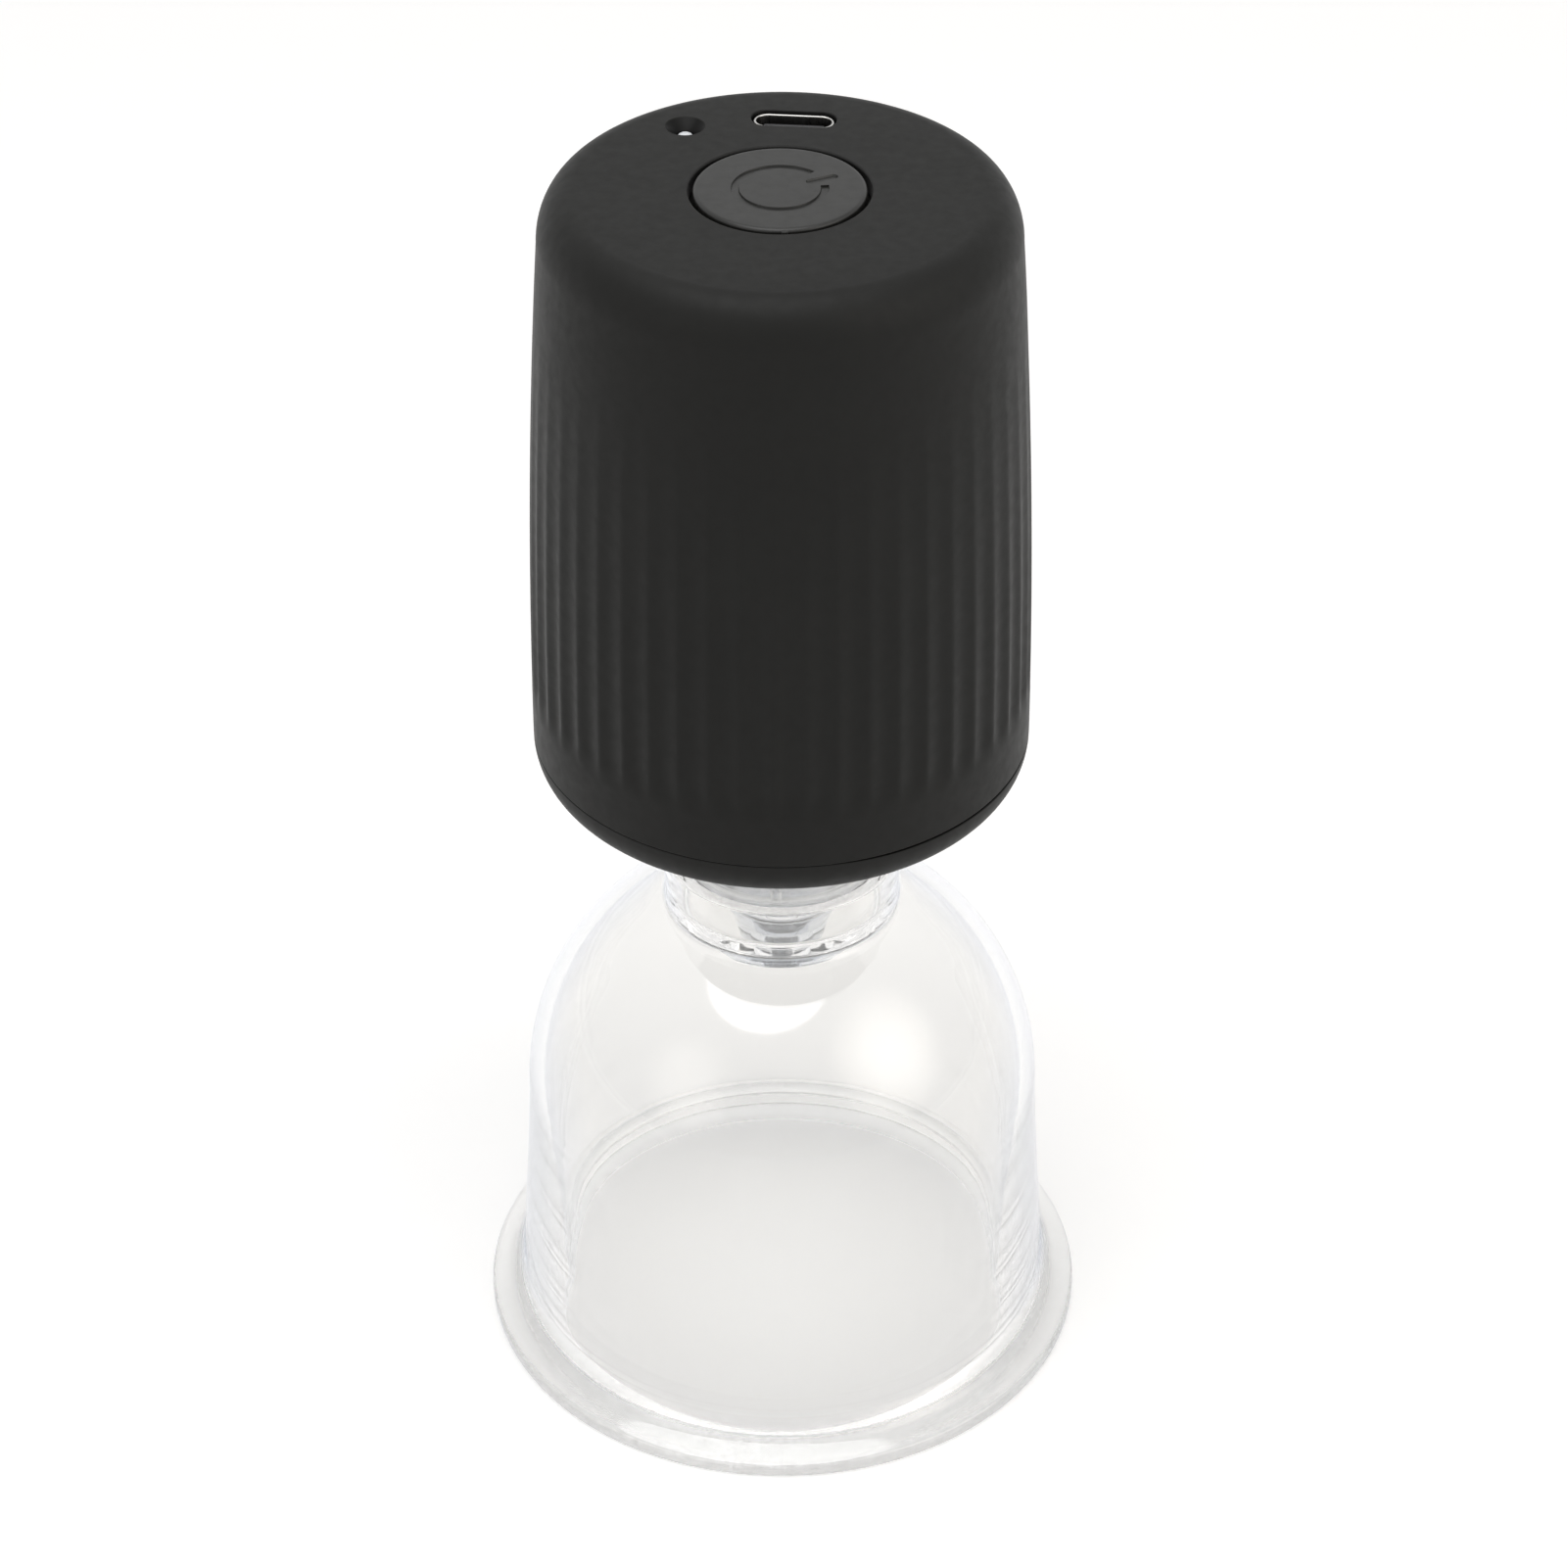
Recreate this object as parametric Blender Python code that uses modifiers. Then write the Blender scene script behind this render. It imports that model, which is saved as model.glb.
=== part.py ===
"""Electric cupping massager: a cordless vacuum head standing on a clear cupping cup.

Metres, +Z up. The origin is the centre of the cup's mouth, on the surface that the rim rests on.
The head's own pieces hang under an empty that is turned a little about +Z, as the head sits on
the cup. Levels are worked out upwards from the cup's rim and downwards from the head's top, and
the motor and the battery take the height between.
"""
import math

import bmesh
import bpy
from mathutils import Matrix, Vector

# Clearances
GAP = 0.0003
RUNNING_FIT = 0.00008
SLIDING_FIT = 0.0002
CUT_OVERRUN = 0.001
MERGE_DISTANCE = 0.000001

# Facets of round shapes
FINE_STEPS = 28
COARSE_STEPS = 16
SMALL_STEPS = 12
TINY_STEPS = 8
DOME_PIECES = 6
FILLET_PIECES = 3
EDGE_PIECES = 2
CORNER_PIECES = 4
SHARP_ANGLE = math.radians(32)

# Cup
CUP_BRIM_WIDTH = 0.0043
CUP_MOUTH_FLARE = 0.0002
CUP_RIM_EDGE = 0.0015
CUP_RIM_ROUND = 0.0004
CUP_BRIM_RISE = 0.0026
CUP_BRIM_FILLET = 0.0030
CUP_BRIM_ARC = (198, 270)
CUP_FOOT_FLARE = 0.00145
CUP_DOME_RADIUS = 0.03125
CUP_SHOULDER_HEIGHT = 0.0332
CUP_WALL = 0.00185
COLLAR_RADIUS = 0.0140
COLLAR_WALL = 0.0015
COLLAR_RISE = 0.00395
COLLAR_FILLET = 0.0008
WELL_FLOOR_RISE = 0.0004
CHAMBER_DEPTH = 0.00735
CHAMBER_FLARE = 0.0014
CHAMBER_WALL = 0.0016
CHAMBER_FLOOR = 0.0028
CHAMBER_SEAT = 0.0015

# Cup valve
PIN_RADIUS = 0.0008
PIN_SHOULDER = 0.0005
PIN_SHOULDER_HEIGHT = 0.0006
PIN_FOOT_HEIGHT = 0.0004
PIN_LENGTH_ABOVE_SEAL = 0.0074
SEAL_STEM_WALL = 0.00075
SEAL_HEAD_OVERLAP = 0.0011
SEAL_HEAD_HEIGHT = 0.0015
SEAL_STEM_SINK = 0.0002

# Head housing
HEAD_TURN = math.radians(-5.4)
HEAD_STANDOFF = 0.0123
HEAD_HEIGHT = 0.0748
HEAD_TAPER = 0.00248
HEAD_BULGE = 0.00055
TOP_FILLET_RUN = 0.0041
TOP_FILLET_DROP = 0.0057
BOTTOM_FILLET = 0.00528
BOTTOM_FILLET_ARC = (-4, -90)
SHELL_WALL = 0.0020
EDGE_ROUND = 0.0003
SEAM_RISE = 0.0056
SEAM_GAP = 0.0003
SIDE_PIECES = 2
CAP_LIP_WALL = 0.0010
CAP_INNER_FILLET = 0.0020

# Flutes round the shell's side
FLUTE_COUNT = 50
FLUTE_DEPTH = 0.0005
FLUTE_TOOL_RADIUS = 0.00265
FLUTE_END_RISE = 0.0120
FLUTE_END_RAMP = 0.0013
FLUTE_TOP_SHARE = 0.83
FLUTE_PIECES = 2

# Power button and its switch
BUTTON_HOLE_RADIUS = 0.0099
BUTTON_CLEARANCE = 0.0005
BUTTON_PROUD = 0.00017
BUTTON_EDGE = 0.00045
BUTTON_FLANGE_WIDTH = 0.0016
BUTTON_FLANGE = 0.0010
BUTTON_ROOF = 0.0015
BUTTON_SKIRT_WALL = 0.0012
BUTTON_BOSS_RADIUS = 0.0020
BUTTON_KEY_AZIMUTH = math.radians(-81.6)
BUTTON_KEY_REACH = 0.00025
BUTTON_KEY_WIDTH = 0.0006
BUTTON_KEY_HEIGHT = 0.0008
BUTTON_TRAVEL = 0.00045
SWITCH_SIDE = 0.0060
SWITCH_HEIGHT = 0.0032
SWITCH_CORNER = 0.0006
PLUNGER_RADIUS = 0.0017
PLUNGER_RISE = 0.0009
PLUNGER_SINK = 0.0013

# Charging socket
USB_INSET = 0.00977
USB_WIDTH = 0.00894
USB_THICKNESS = 0.00316
USB_WALL = 0.0003
USB_LENGTH = 0.0077
USB_SINK = 0.0003
USB_CLEARANCE = 0.00023
USB_BASE_HEIGHT = 0.0025
TONGUE_WIDTH = 0.00669
TONGUE_THICKNESS = 0.0007
TONGUE_SINK = 0.0006

# Indicator light
LIGHT_INSET = 0.00825
LIGHT_AZIMUTH = math.radians(130.5)
LIGHT_MOUTH_RADIUS = 0.00205
LIGHT_FUNNEL_DEPTH = 0.0011
PIPE_RADIUS = 0.0008
PIPE_SINK = 0.0009
PIPE_FLANGE_RADIUS = 0.0016
PIPE_FLANGE = 0.0010
LED_SIDE = 0.0020
LED_HEIGHT = 0.0011

# Board
BOARD_THICKNESS = 0.0012
BOARD_EDGE_CLEARANCE = 0.0022
BOARD_BOSS_HEIGHT = 0.0008
BOARD_BOSS_RADIUS = 0.0021
BOARD_SCREW_INSET = 0.0028
BOARD_SCREW_RADIUS = 0.0007
BOARD_SCREW_HEAD_RADIUS = 0.0014
BOARD_SCREW_HEAD = 0.0009
BOARD_SCREW_BITE = 0.0014

# Chassis
FRAME_PLATE = 0.0016
FRAME_CLEARANCE = 0.0006
RING_WALL = 0.0008
POST_RADIUS = 0.0022
POST_AZIMUTHS = tuple(math.radians(degrees) for degrees in (120, 240, 315))
POCKET_HEIGHT = 0.0055
SKIRT_DEPTH = 0.0138
CELL_RING_DEPTH = 0.0042

# Base screws
SCREW_RADIUS = 0.0008
SCREW_HEAD_RADIUS = 0.0019
SCREW_HEAD = 0.0014
SCREW_RECESS = 0.0024
SCREW_BITE = 0.0032
SCREW_BOSS_WALL = 0.0010

# Suction nozzle
NOZZLE_FLANGE_RADIUS = 0.0140
NOZZLE_FLANGE = 0.0016
NOZZLE_NECK_RADIUS = 0.0107
NOZZLE_BORE_RADIUS = 0.0020
NOZZLE_WAIST_CUT = 0.0012
NOZZLE_LIP_CLEARANCE = 0.0009
NOZZLE_LIP_WALL = 0.0011
NOZZLE_LIP_ROUND = 0.0004
NOZZLE_BELL_DEPTH = 0.0032
NOZZLE_BELL_ARC = (0, 84)
NOZZLE_LIP_SHARE = 0.25
NOZZLE_WAIST_SHARES = (0.44, 0.70)
NOZZLE_NECK_SHARE = 0.88

# Air circuit
MANIFOLD_RADIUS = 0.0105
MANIFOLD_HEIGHT = 0.0034
MANIFOLD_HEADROOM = 0.0017
SPIGOT_LENGTH = 0.0055
SPIGOT_BORE = 0.0009
AIR_BORE = 0.0006
BARB_RADIUS = 0.00095
BARB_LENGTH = 0.0022
TUBE_BORE = 0.00115
TUBE_WALL = 0.00075
TUBE_BEND = 0.0034
TUBE_RESOLUTION = 2
UPRIGHT_BARB_SHARE = 0.36

# Diaphragm pump
PUMP_CASE_RADIUS = 0.0133
PUMP_CASE_HEIGHT = 0.0150
PUMP_CASE_WALL = 0.0012
PUMP_CASE_DECK = 0.0015
PUMP_COVER_HEIGHT = 0.0030
VALVE_PLATE_HEIGHT = 0.0014
DIAPHRAGM_SHEET = 0.0010
PORT_OFFSET = 0.0045
CHAMBER_INSET = 0.0061
CHAMBER_RADIUS = 0.0031
CHAMBER_NARROWING = 0.0009
CHAMBER_HEIGHT = 0.0036
CHAMBER_SKIN = 0.0007
NUB_RADIUS = 0.0009
NUB_LENGTH = 0.0026
PUMP_CHAMBERS = 3
PUMP_SCREW_INSET = 0.0021
PUMP_SCREW_RADIUS = 0.0006
PUMP_SCREW_HEAD_RADIUS = 0.0011
PUMP_SCREW_HEAD = 0.0008
PUMP_SCREW_BITE = 0.0030

# Wobble drive
WOBBLE_HUB_RADIUS = 0.0032
WOBBLE_HUB_HEIGHT = 0.0040
WOBBLE_ARM_WIDTH = 0.0026
WOBBLE_ARM_THICKNESS = 0.0012
WOBBLE_ARM_REACH = 0.0015
CRANK_RADIUS = 0.0006
CRANK_OFFSET = 0.0016
CRANK_SEAT = 0.0016
CRANK_LENGTH = 0.0074
ECCENTRIC_RADIUS = 0.0055
ECCENTRIC_HEIGHT = 0.0040
ECCENTRIC_HEADROOM = 0.0005
SHAFT_SEAT = 0.0020

# Motor
MOTOR_INSET = 0.0011
MOTOR_WALL = 0.0008
MOTOR_BOSS_RADIUS = 0.0030
MOTOR_BOSS_HEIGHT = 0.0012
MOTOR_HEADROOM = 0.0030
END_CAP_HEIGHT = 0.0025
SHAFT_RADIUS = 0.0010
SHAFT_TAIL = 0.0007
BUSH_WALL = 0.0008
BUSH_LENGTH = 0.0028
MAGNET_THICKNESS = 0.0018
MAGNET_PARTING = 0.0035
AIR_GAP = 0.0004
CORE_HUB_SHARE = 0.356
CORE_SHOE_SHARE = 0.167
CORE_ARM_WIDTH = 0.0026
CORE_SLOT_WIDTH = 0.0020
CORE_POLES = 3
WINDING_BUILD = 0.0011
COMMUTATOR_WALL = 0.0014
MAGNET_SHARES = (0.12, 0.80)
CORE_SHARES = (0.22, 0.68)
WINDING_SHARES = (0.15, 0.75)
COMMUTATOR_SHARES = (0.83, 0.95)
BRUSH_SHARE = 0.89
SLEEVE_SHARES = (0.68, 0.94)
BRUSH_THICKNESS = 0.0004
BRUSH_WIDTH = 0.0018
BRUSH_OFFSET = 0.0068

# Release valve
RELEASE_FILL_SHARE = 0.757
RELEASE_CAP_HEIGHT = 0.0028
RELEASE_CAN_HEIGHT = 0.0160
RELEASE_WALL = 0.0006
RELEASE_NUB_HEIGHT = 0.0012
RELEASE_PLUNGER_RADIUS = 0.0020
RELEASE_PLUNGER_LENGTH = 0.0108
COIL_FLANGE = 0.0008
COIL_WINDING_INSET = 0.0005
COIL_SHARE = 0.90

# Pressure sensor
SENSOR_SIDE = 0.0050
SENSOR_HEIGHT = 0.0018

# Battery
CELL_RADIUS = 0.0090
CELL_PAD = 0.0014
CELL_CRIMP = 0.0004
CELL_CRIMP_DROP = 0.0030
CELL_ROUND = 0.0006
CELL_TERMINAL_RADIUS = 0.0028
CELL_TERMINAL_HEIGHT = 0.0010
CELL_PAD_BORE = 0.0040

# Levels of the cup
DOME_CROWN = CUP_SHOULDER_HEIGHT + CUP_DOME_RADIUS
WELL_FLOOR = DOME_CROWN + WELL_FLOOR_RISE
COLLAR_TOP = DOME_CROWN + COLLAR_RISE
CHAMBER_BOTTOM = WELL_FLOOR - CHAMBER_DEPTH
BOSS_BOTTOM = CHAMBER_BOTTOM - CHAMBER_FLOOR

# Radii of the cup and its valve
BORE_RADIUS = CUP_DOME_RADIUS - CUP_WALL
CUP_MOUTH_RADIUS = BORE_RADIUS + CUP_MOUTH_FLARE
CUP_FOOT_RADIUS = CUP_DOME_RADIUS + CUP_FOOT_FLARE
CUP_RIM_RADIUS = CUP_FOOT_RADIUS + CUP_BRIM_WIDTH
WELL_RADIUS = COLLAR_RADIUS - COLLAR_WALL
SEAL_BORE = PIN_RADIUS + SLIDING_FIT
SEAL_STEM_RADIUS = SEAL_BORE + SEAL_STEM_WALL
VALVE_HOLE_RADIUS = SEAL_STEM_RADIUS + SLIDING_FIT
SEAL_HEAD_RADIUS = VALVE_HOLE_RADIUS + SEAL_HEAD_OVERLAP
CHAMBER_FOOT_RADIUS = VALVE_HOLE_RADIUS + CHAMBER_SEAT
CHAMBER_MOUTH_RADIUS = CHAMBER_FOOT_RADIUS + CHAMBER_FLARE

# Levels of the head, from its bottom up
TUBE_RADIUS = TUBE_BORE + TUBE_WALL
HEAD_BOTTOM = COLLAR_TOP + HEAD_STANDOFF
HEAD_TOP = HEAD_BOTTOM + HEAD_HEIGHT
SEAM_Z = HEAD_BOTTOM + SEAM_RISE
CAP_FLOOR = HEAD_BOTTOM + SHELL_WALL
MANIFOLD_BOTTOM = CAP_FLOOR + GAP + NOZZLE_FLANGE + GAP
MANIFOLD_TOP = MANIFOLD_BOTTOM + MANIFOLD_HEIGHT
BARB_LEVEL = MANIFOLD_BOTTOM + TUBE_RADIUS
LOWER_PLATE_BOTTOM = MANIFOLD_TOP + MANIFOLD_HEADROOM
LOWER_PLATE_TOP = LOWER_PLATE_BOTTOM + FRAME_PLATE
DECK = LOWER_PLATE_TOP + GAP
UPRIGHT_BARB = (DECK - MANIFOLD_TOP) * UPRIGHT_BARB_SHARE
COVER_TOP = DECK + PUMP_COVER_HEIGHT
VALVE_PLATE_BOTTOM = COVER_TOP + GAP
VALVE_PLATE_TOP = VALVE_PLATE_BOTTOM + VALVE_PLATE_HEIGHT
SHEET_BOTTOM = VALVE_PLATE_TOP + GAP
SHEET_TOP = SHEET_BOTTOM + DIAPHRAGM_SHEET
CASE_BOTTOM = SHEET_TOP + GAP
CASE_TOP = CASE_BOTTOM + PUMP_CASE_HEIGHT
CAN_BOTTOM = CASE_TOP + GAP
ECCENTRIC_TOP = CASE_TOP - PUMP_CASE_DECK - ECCENTRIC_HEADROOM
ECCENTRIC_BOTTOM = ECCENTRIC_TOP - ECCENTRIC_HEIGHT

# Levels of the head, from its top down
CEILING = HEAD_TOP - SHELL_WALL
FLANGE_TOP = CEILING - GAP
BOARD_SEAT = HEAD_TOP - USB_SINK - USB_LENGTH
BOARD_TOP = BOARD_SEAT - GAP
BOARD_BOTTOM = BOARD_TOP - BOARD_THICKNESS
SWITCH_TOP = BOARD_SEAT + SWITCH_HEIGHT
UPPER_PLATE_TOP = BOARD_BOTTOM - GAP - BOARD_BOSS_HEIGHT
UPPER_PLATE_BOTTOM = UPPER_PLATE_TOP - FRAME_PLATE
END_CAP_TOP = UPPER_PLATE_BOTTOM - MOTOR_HEADROOM
END_CAP_BOTTOM = END_CAP_TOP - END_CAP_HEIGHT
CAN_TOP = END_CAP_BOTTOM - GAP
CELL_TOP = UPPER_PLATE_BOTTOM - GAP - CELL_PAD - GAP


def side_swell(z):
    """How far the head's side stands out from its radius at the top, between its rounded edges."""
    low, high = HEAD_BOTTOM + BOTTOM_FILLET, HEAD_TOP - TOP_FILLET_DROP
    t = min(max((high - z) / (high - low), 0), 1)
    return HEAD_TAPER * t + HEAD_BULGE * 4 * t * (1 - t)


# The pump and the battery stand side by side, and so set the room in the shell and the head's width
SKIRT_RADIUS = PUMP_CASE_RADIUS + GAP + RING_WALL
CELL_RING_RADIUS = CELL_RADIUS + GAP + RING_WALL
ROOM_RADIUS = SKIRT_RADIUS + CELL_RING_RADIUS - RING_WALL / 2
PUMP_X = SKIRT_RADIUS - ROOM_RADIUS
CELL_X = ROOM_RADIUS - CELL_RING_RADIUS
HEAD_TOP_RADIUS = ROOM_RADIUS + FRAME_CLEARANCE + SHELL_WALL - side_swell(UPPER_PLATE_TOP)
HEAD_BOTTOM_RADIUS = HEAD_TOP_RADIUS + HEAD_TAPER


def head_radius(z):
    """Radius of the head's side, between its two rounded edges."""
    return HEAD_TOP_RADIUS + side_swell(z)


def pocket():
    """Radius and plan position of the circle that the room, the pump and the battery leave free.

    It touches all three, as the first circle of an arbelos does.
    """
    a, b = SKIRT_RADIUS, ROOM_RADIUS - SKIRT_RADIUS
    radius = a * b * (a + b) / (a * a + a * b + b * b)
    return radius, radius * (2 * a + b) / b - a - b, 2 * radius


# What stands in the two pockets, in the pump and on the head's top
POCKET_RADIUS, POCKET_X, POCKET_Y = pocket()
POCKET_CIRCLE = math.hypot(POCKET_X, POCKET_Y)
POCKET_AZIMUTH = math.atan2(POCKET_Y, POCKET_X)
RELEASE_RADIUS = POCKET_RADIUS * RELEASE_FILL_SHARE
MOTOR_RADIUS = PUMP_CASE_RADIUS - MOTOR_INSET
PUMP_SCREW_CIRCLE = PUMP_CASE_RADIUS - PUMP_SCREW_INSET
CHAMBER_CIRCLE = PUMP_CASE_RADIUS - CHAMBER_INSET
SCREW_BOSS_RADIUS = SCREW_HEAD_RADIUS + GAP + SCREW_BOSS_WALL
POST_CIRCLE = ROOM_RADIUS - SCREW_BOSS_RADIUS - GAP
LIP_RADIUS = head_radius(LOWER_PLATE_TOP) - SHELL_WALL - GAP
BOARD_RADIUS = ROOM_RADIUS - BOARD_EDGE_CLEARANCE
BOARD_SCREW_X = BOARD_RADIUS - BOARD_SCREW_INSET
USB_OFFSET = HEAD_TOP_RADIUS - USB_INSET
LIGHT_CIRCLE = HEAD_TOP_RADIUS - LIGHT_INSET


def clear_scene():
    for obj in list(bpy.data.objects):
        bpy.data.objects.remove(obj, do_unlink=True)


def new_collection(name, hidden=False):
    collection = bpy.data.collections.new(name)
    bpy.context.scene.collection.children.link(collection)
    collection.hide_render = hidden
    return collection


clear_scene()
PARTS = new_collection("electric_cupping_massager")
CUTTERS = new_collection("cutters", hidden=True)


def material(name, colour, roughness, metallic=0.0, transmission=0.0):
    """A Principled material, made once for each name."""
    made = bpy.data.materials.get(name)
    if made is None:
        made = bpy.data.materials.new(name)
        made.use_nodes = True
        shader = made.node_tree.nodes["Principled BSDF"]
        shader.inputs["Base Color"].default_value = (*colour, 1.0)
        shader.inputs["Roughness"].default_value = roughness
        shader.inputs["Metallic"].default_value = metallic
        shader.inputs["Transmission Weight"].default_value = transmission
        made.diffuse_color = (*colour, 1.0)
    return made


def clear_plastic():
    return material("clear_plastic", (0.90, 0.93, 0.97), 0.04, transmission=1.0)


def soft_black():
    return material("soft_touch_black", (0.045, 0.046, 0.043), 0.55)


def button_grey():
    return material("button_grey", (0.070, 0.072, 0.066), 0.42)


def pale_silicone():
    return material("pale_silicone", (0.86, 0.88, 0.88), 0.40, transmission=0.5)


def white_lens():
    return material("white_lens", (0.92, 0.92, 0.90), 0.20)


def steel():
    return material("steel", (0.62, 0.63, 0.65), 0.28, metallic=1.0)


def copper():
    return material("copper", (0.72, 0.40, 0.22), 0.32, metallic=1.0)


def winding_wire():
    return material("winding_wire", (0.52, 0.20, 0.10), 0.35, metallic=0.6)


def ferrite():
    return material("ferrite", (0.10, 0.10, 0.11), 0.65)


def brass():
    return material("brass", (0.70, 0.56, 0.28), 0.30, metallic=1.0)


def frame_plastic():
    return material("frame_plastic", (0.20, 0.21, 0.22), 0.50)


def pump_plastic():
    return material("pump_plastic", (0.78, 0.78, 0.74), 0.45)


def rubber():
    return material("rubber", (0.06, 0.06, 0.06), 0.80)


def board_green():
    return material("board_green", (0.05, 0.22, 0.12), 0.45)


def chip_black():
    return material("chip_black", (0.03, 0.03, 0.03), 0.40)


def cell_wrap():
    return material("cell_wrap", (0.10, 0.22, 0.42), 0.35)


def foam():
    return material("foam", (0.30, 0.30, 0.31), 0.95)


def empty(name, parent=None, place=(0, 0), turn=0.0):
    """An axis that pieces hang under."""
    axis = bpy.data.objects.new(name, None)
    axis.location = (*place, 0)
    axis.rotation_euler = (0, 0, turn)
    axis.parent = parent
    PARTS.objects.link(axis)
    return axis


def add_object(name, mesh, look=None, parent=None):
    """Links a mesh as a part, or as a cutter when it has no material."""
    obj = bpy.data.objects.new(name, mesh)
    obj.parent = parent
    if look is None:
        CUTTERS.objects.link(obj)
        obj.hide_render = True
        obj.display_type = "WIRE"
    else:
        PARTS.objects.link(obj)
        mesh.materials.clear()
        mesh.materials.append(look)
    return obj


def smoothed(mesh):
    mesh.shade_smooth()
    mesh.set_sharp_from_angle(angle=SHARP_ANGLE)
    return mesh


def mesh_of(work, name):
    """Ends a bmesh and returns it as a mesh."""
    mesh = bpy.data.meshes.new(name)
    work.to_mesh(mesh)
    work.free()
    return smoothed(mesh)


def evaluated_mesh(obj):
    """The mesh that an object's modifiers or curve settings make. The object is then removed."""
    bpy.context.view_layer.update()
    graph = bpy.context.evaluated_depsgraph_get()
    mesh = bpy.data.meshes.new_from_object(obj.evaluated_get(graph))
    bpy.data.objects.remove(obj)
    return mesh


def polar(circle, azimuth):
    """Plan position on a circle round the axis."""
    return circle * math.cos(azimuth), circle * math.sin(azimuth)


def arc(centre, radii, span, pieces):
    """Points of an elliptical arc in a profile. Its span is in degrees, from +r towards +z."""
    angles = [math.radians(span[0] + (span[1] - span[0]) * i / pieces) for i in range(pieces + 1)]
    return [(centre[0] + radii[0] * math.cos(a), centre[1] + radii[1] * math.sin(a)) for a in angles]


def turned(name, profile, steps, look=None, parent=None, place=(0, 0), closed=True):
    """A profile of (radius, z) points turned about +Z. It runs down the outer side first."""
    mesh = bpy.data.meshes.new(name + "_profile")
    count = len(profile)
    edges = [(i, i + 1) for i in range(count - 1)] + ([(count - 1, 0)] if closed else [])
    mesh.from_pydata([(r, 0, z) for r, z in profile], edges, [])
    shape = bpy.data.objects.new(name + "_profile", mesh)
    CUTTERS.objects.link(shape)
    screw = shape.modifiers.new("turn", "SCREW")
    screw.axis = "Z"
    screw.angle = math.tau
    screw.steps = screw.render_steps = steps
    screw.use_merge_vertices = True
    screw.merge_threshold = MERGE_DISTANCE
    obj = add_object(name, smoothed(evaluated_mesh(shape)), look, parent)
    obj.location = (*place, 0)
    return obj


def rod(name, radius, start, end, steps, look=None, parent=None, end_radius=None):
    """A cylinder or cone from one point to another. Its origin lies under its start."""
    start, end = Vector(start), Vector(end)
    foot = Vector((start.x, start.y, 0))
    turn = (end - start).to_track_quat("Z", "Y").to_matrix().to_4x4()
    work = bmesh.new()
    bmesh.ops.create_cone(
        work,
        cap_ends=True,
        segments=steps,
        radius1=radius,
        radius2=radius if end_radius is None else end_radius,
        depth=(end - start).length,
        matrix=Matrix.Translation((start + end) / 2 - foot) @ turn,
    )
    obj = add_object(name, mesh_of(work, name), look, parent)
    obj.location = foot
    return obj


def disc(name, radius, low, high, steps, look=None, parent=None, place=(0, 0)):
    """An upright cylinder between two levels."""
    return rod(name, radius, (*place, low), (*place, high), steps, look, parent)


def ring(name, outer, inner, low, high, steps, look=None, parent=None, place=(0, 0)):
    """An upright tube between two levels."""
    profile = [(outer, high), (outer, low), (inner, low), (inner, high)]
    return turned(name, profile, steps, look, parent, place)


def block(name, size, low, high, look=None, parent=None, place=(0, 0), turn=0.0, corner=0.0):
    """An upright box between two levels, with rounded upright edges where corner is given."""
    work = bmesh.new()
    scale = Matrix.Diagonal((*size, high - low, 1))
    bmesh.ops.create_cube(work, size=1, matrix=Matrix.Translation((0, 0, (low + high) / 2)) @ scale)
    if corner:
        upright = [e for e in work.edges if e.verts[0].co.xy == e.verts[1].co.xy]
        bmesh.ops.bevel(work, geom=upright, offset=corner, segments=CORNER_PIECES, affect="EDGES", profile=0.5)
    obj = add_object(name, mesh_of(work, name), look, parent)
    obj.location = (*place, 0)
    obj.rotation_euler = (0, 0, turn)
    return obj


def tube_mesh(name, points, radii, resolution, capped):
    """The mesh of a round bar along a line of points, with a radius at each of them."""
    curve = bpy.data.curves.new(name + "_line", "CURVE")
    curve.dimensions = "3D"
    curve.bevel_depth = 1.0
    curve.bevel_resolution = resolution
    curve.use_fill_caps = capped
    spline = curve.splines.new("POLY")
    spline.points.add(len(points) - 1)
    for point, place, radius in zip(spline.points, points, radii):
        point.co = (*place, 1)
        point.radius = radius
    line = bpy.data.objects.new(name + "_line", curve)
    CUTTERS.objects.link(line)
    mesh = evaluated_mesh(line)
    work = bmesh.new()
    work.from_mesh(mesh)
    bmesh.ops.remove_doubles(work, verts=work.verts, dist=MERGE_DISTANCE)
    bmesh.ops.recalc_face_normals(work, faces=work.faces)
    return mesh_of(work, name)


def boolean(target, other, operation):
    modifier = target.modifiers.new(operation.lower() + "_" + other.name, "BOOLEAN")
    modifier.operation = operation
    modifier.solver = "EXACT"
    modifier.object = other


def cut(target, *cutters):
    for cutter in cutters:
        boolean(target, cutter, "DIFFERENCE")


def join(target, *others):
    for other in others:
        boolean(target, other, "UNION")


def add_boss(target, radius, low, high, place=(0, 0), steps=TINY_STEPS):
    """Joins an upright cylinder to a piece."""
    join(target, disc(target.name + "_boss", radius, low, high, steps, parent=target.parent, place=place))


def drill(target, radius, low, high, place=(0, 0), steps=TINY_STEPS):
    """Cuts an upright round hole that runs out at both levels."""
    ends = low - CUT_OVERRUN, high + CUT_OVERRUN
    cut(target, disc(target.name + "_hole", radius, *ends, steps, parent=target.parent, place=place))


def drill_blind(target, radius, mouth, end, place=(0, 0), steps=TINY_STEPS):
    """Cuts an upright round hole that runs out at its mouth and stops at its end."""
    overrun = CUT_OVERRUN if mouth > end else -CUT_OVERRUN
    ends = sorted((mouth + overrun, end))
    cut(target, disc(target.name + "_hole", radius, *ends, steps, parent=target.parent, place=place))


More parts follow.
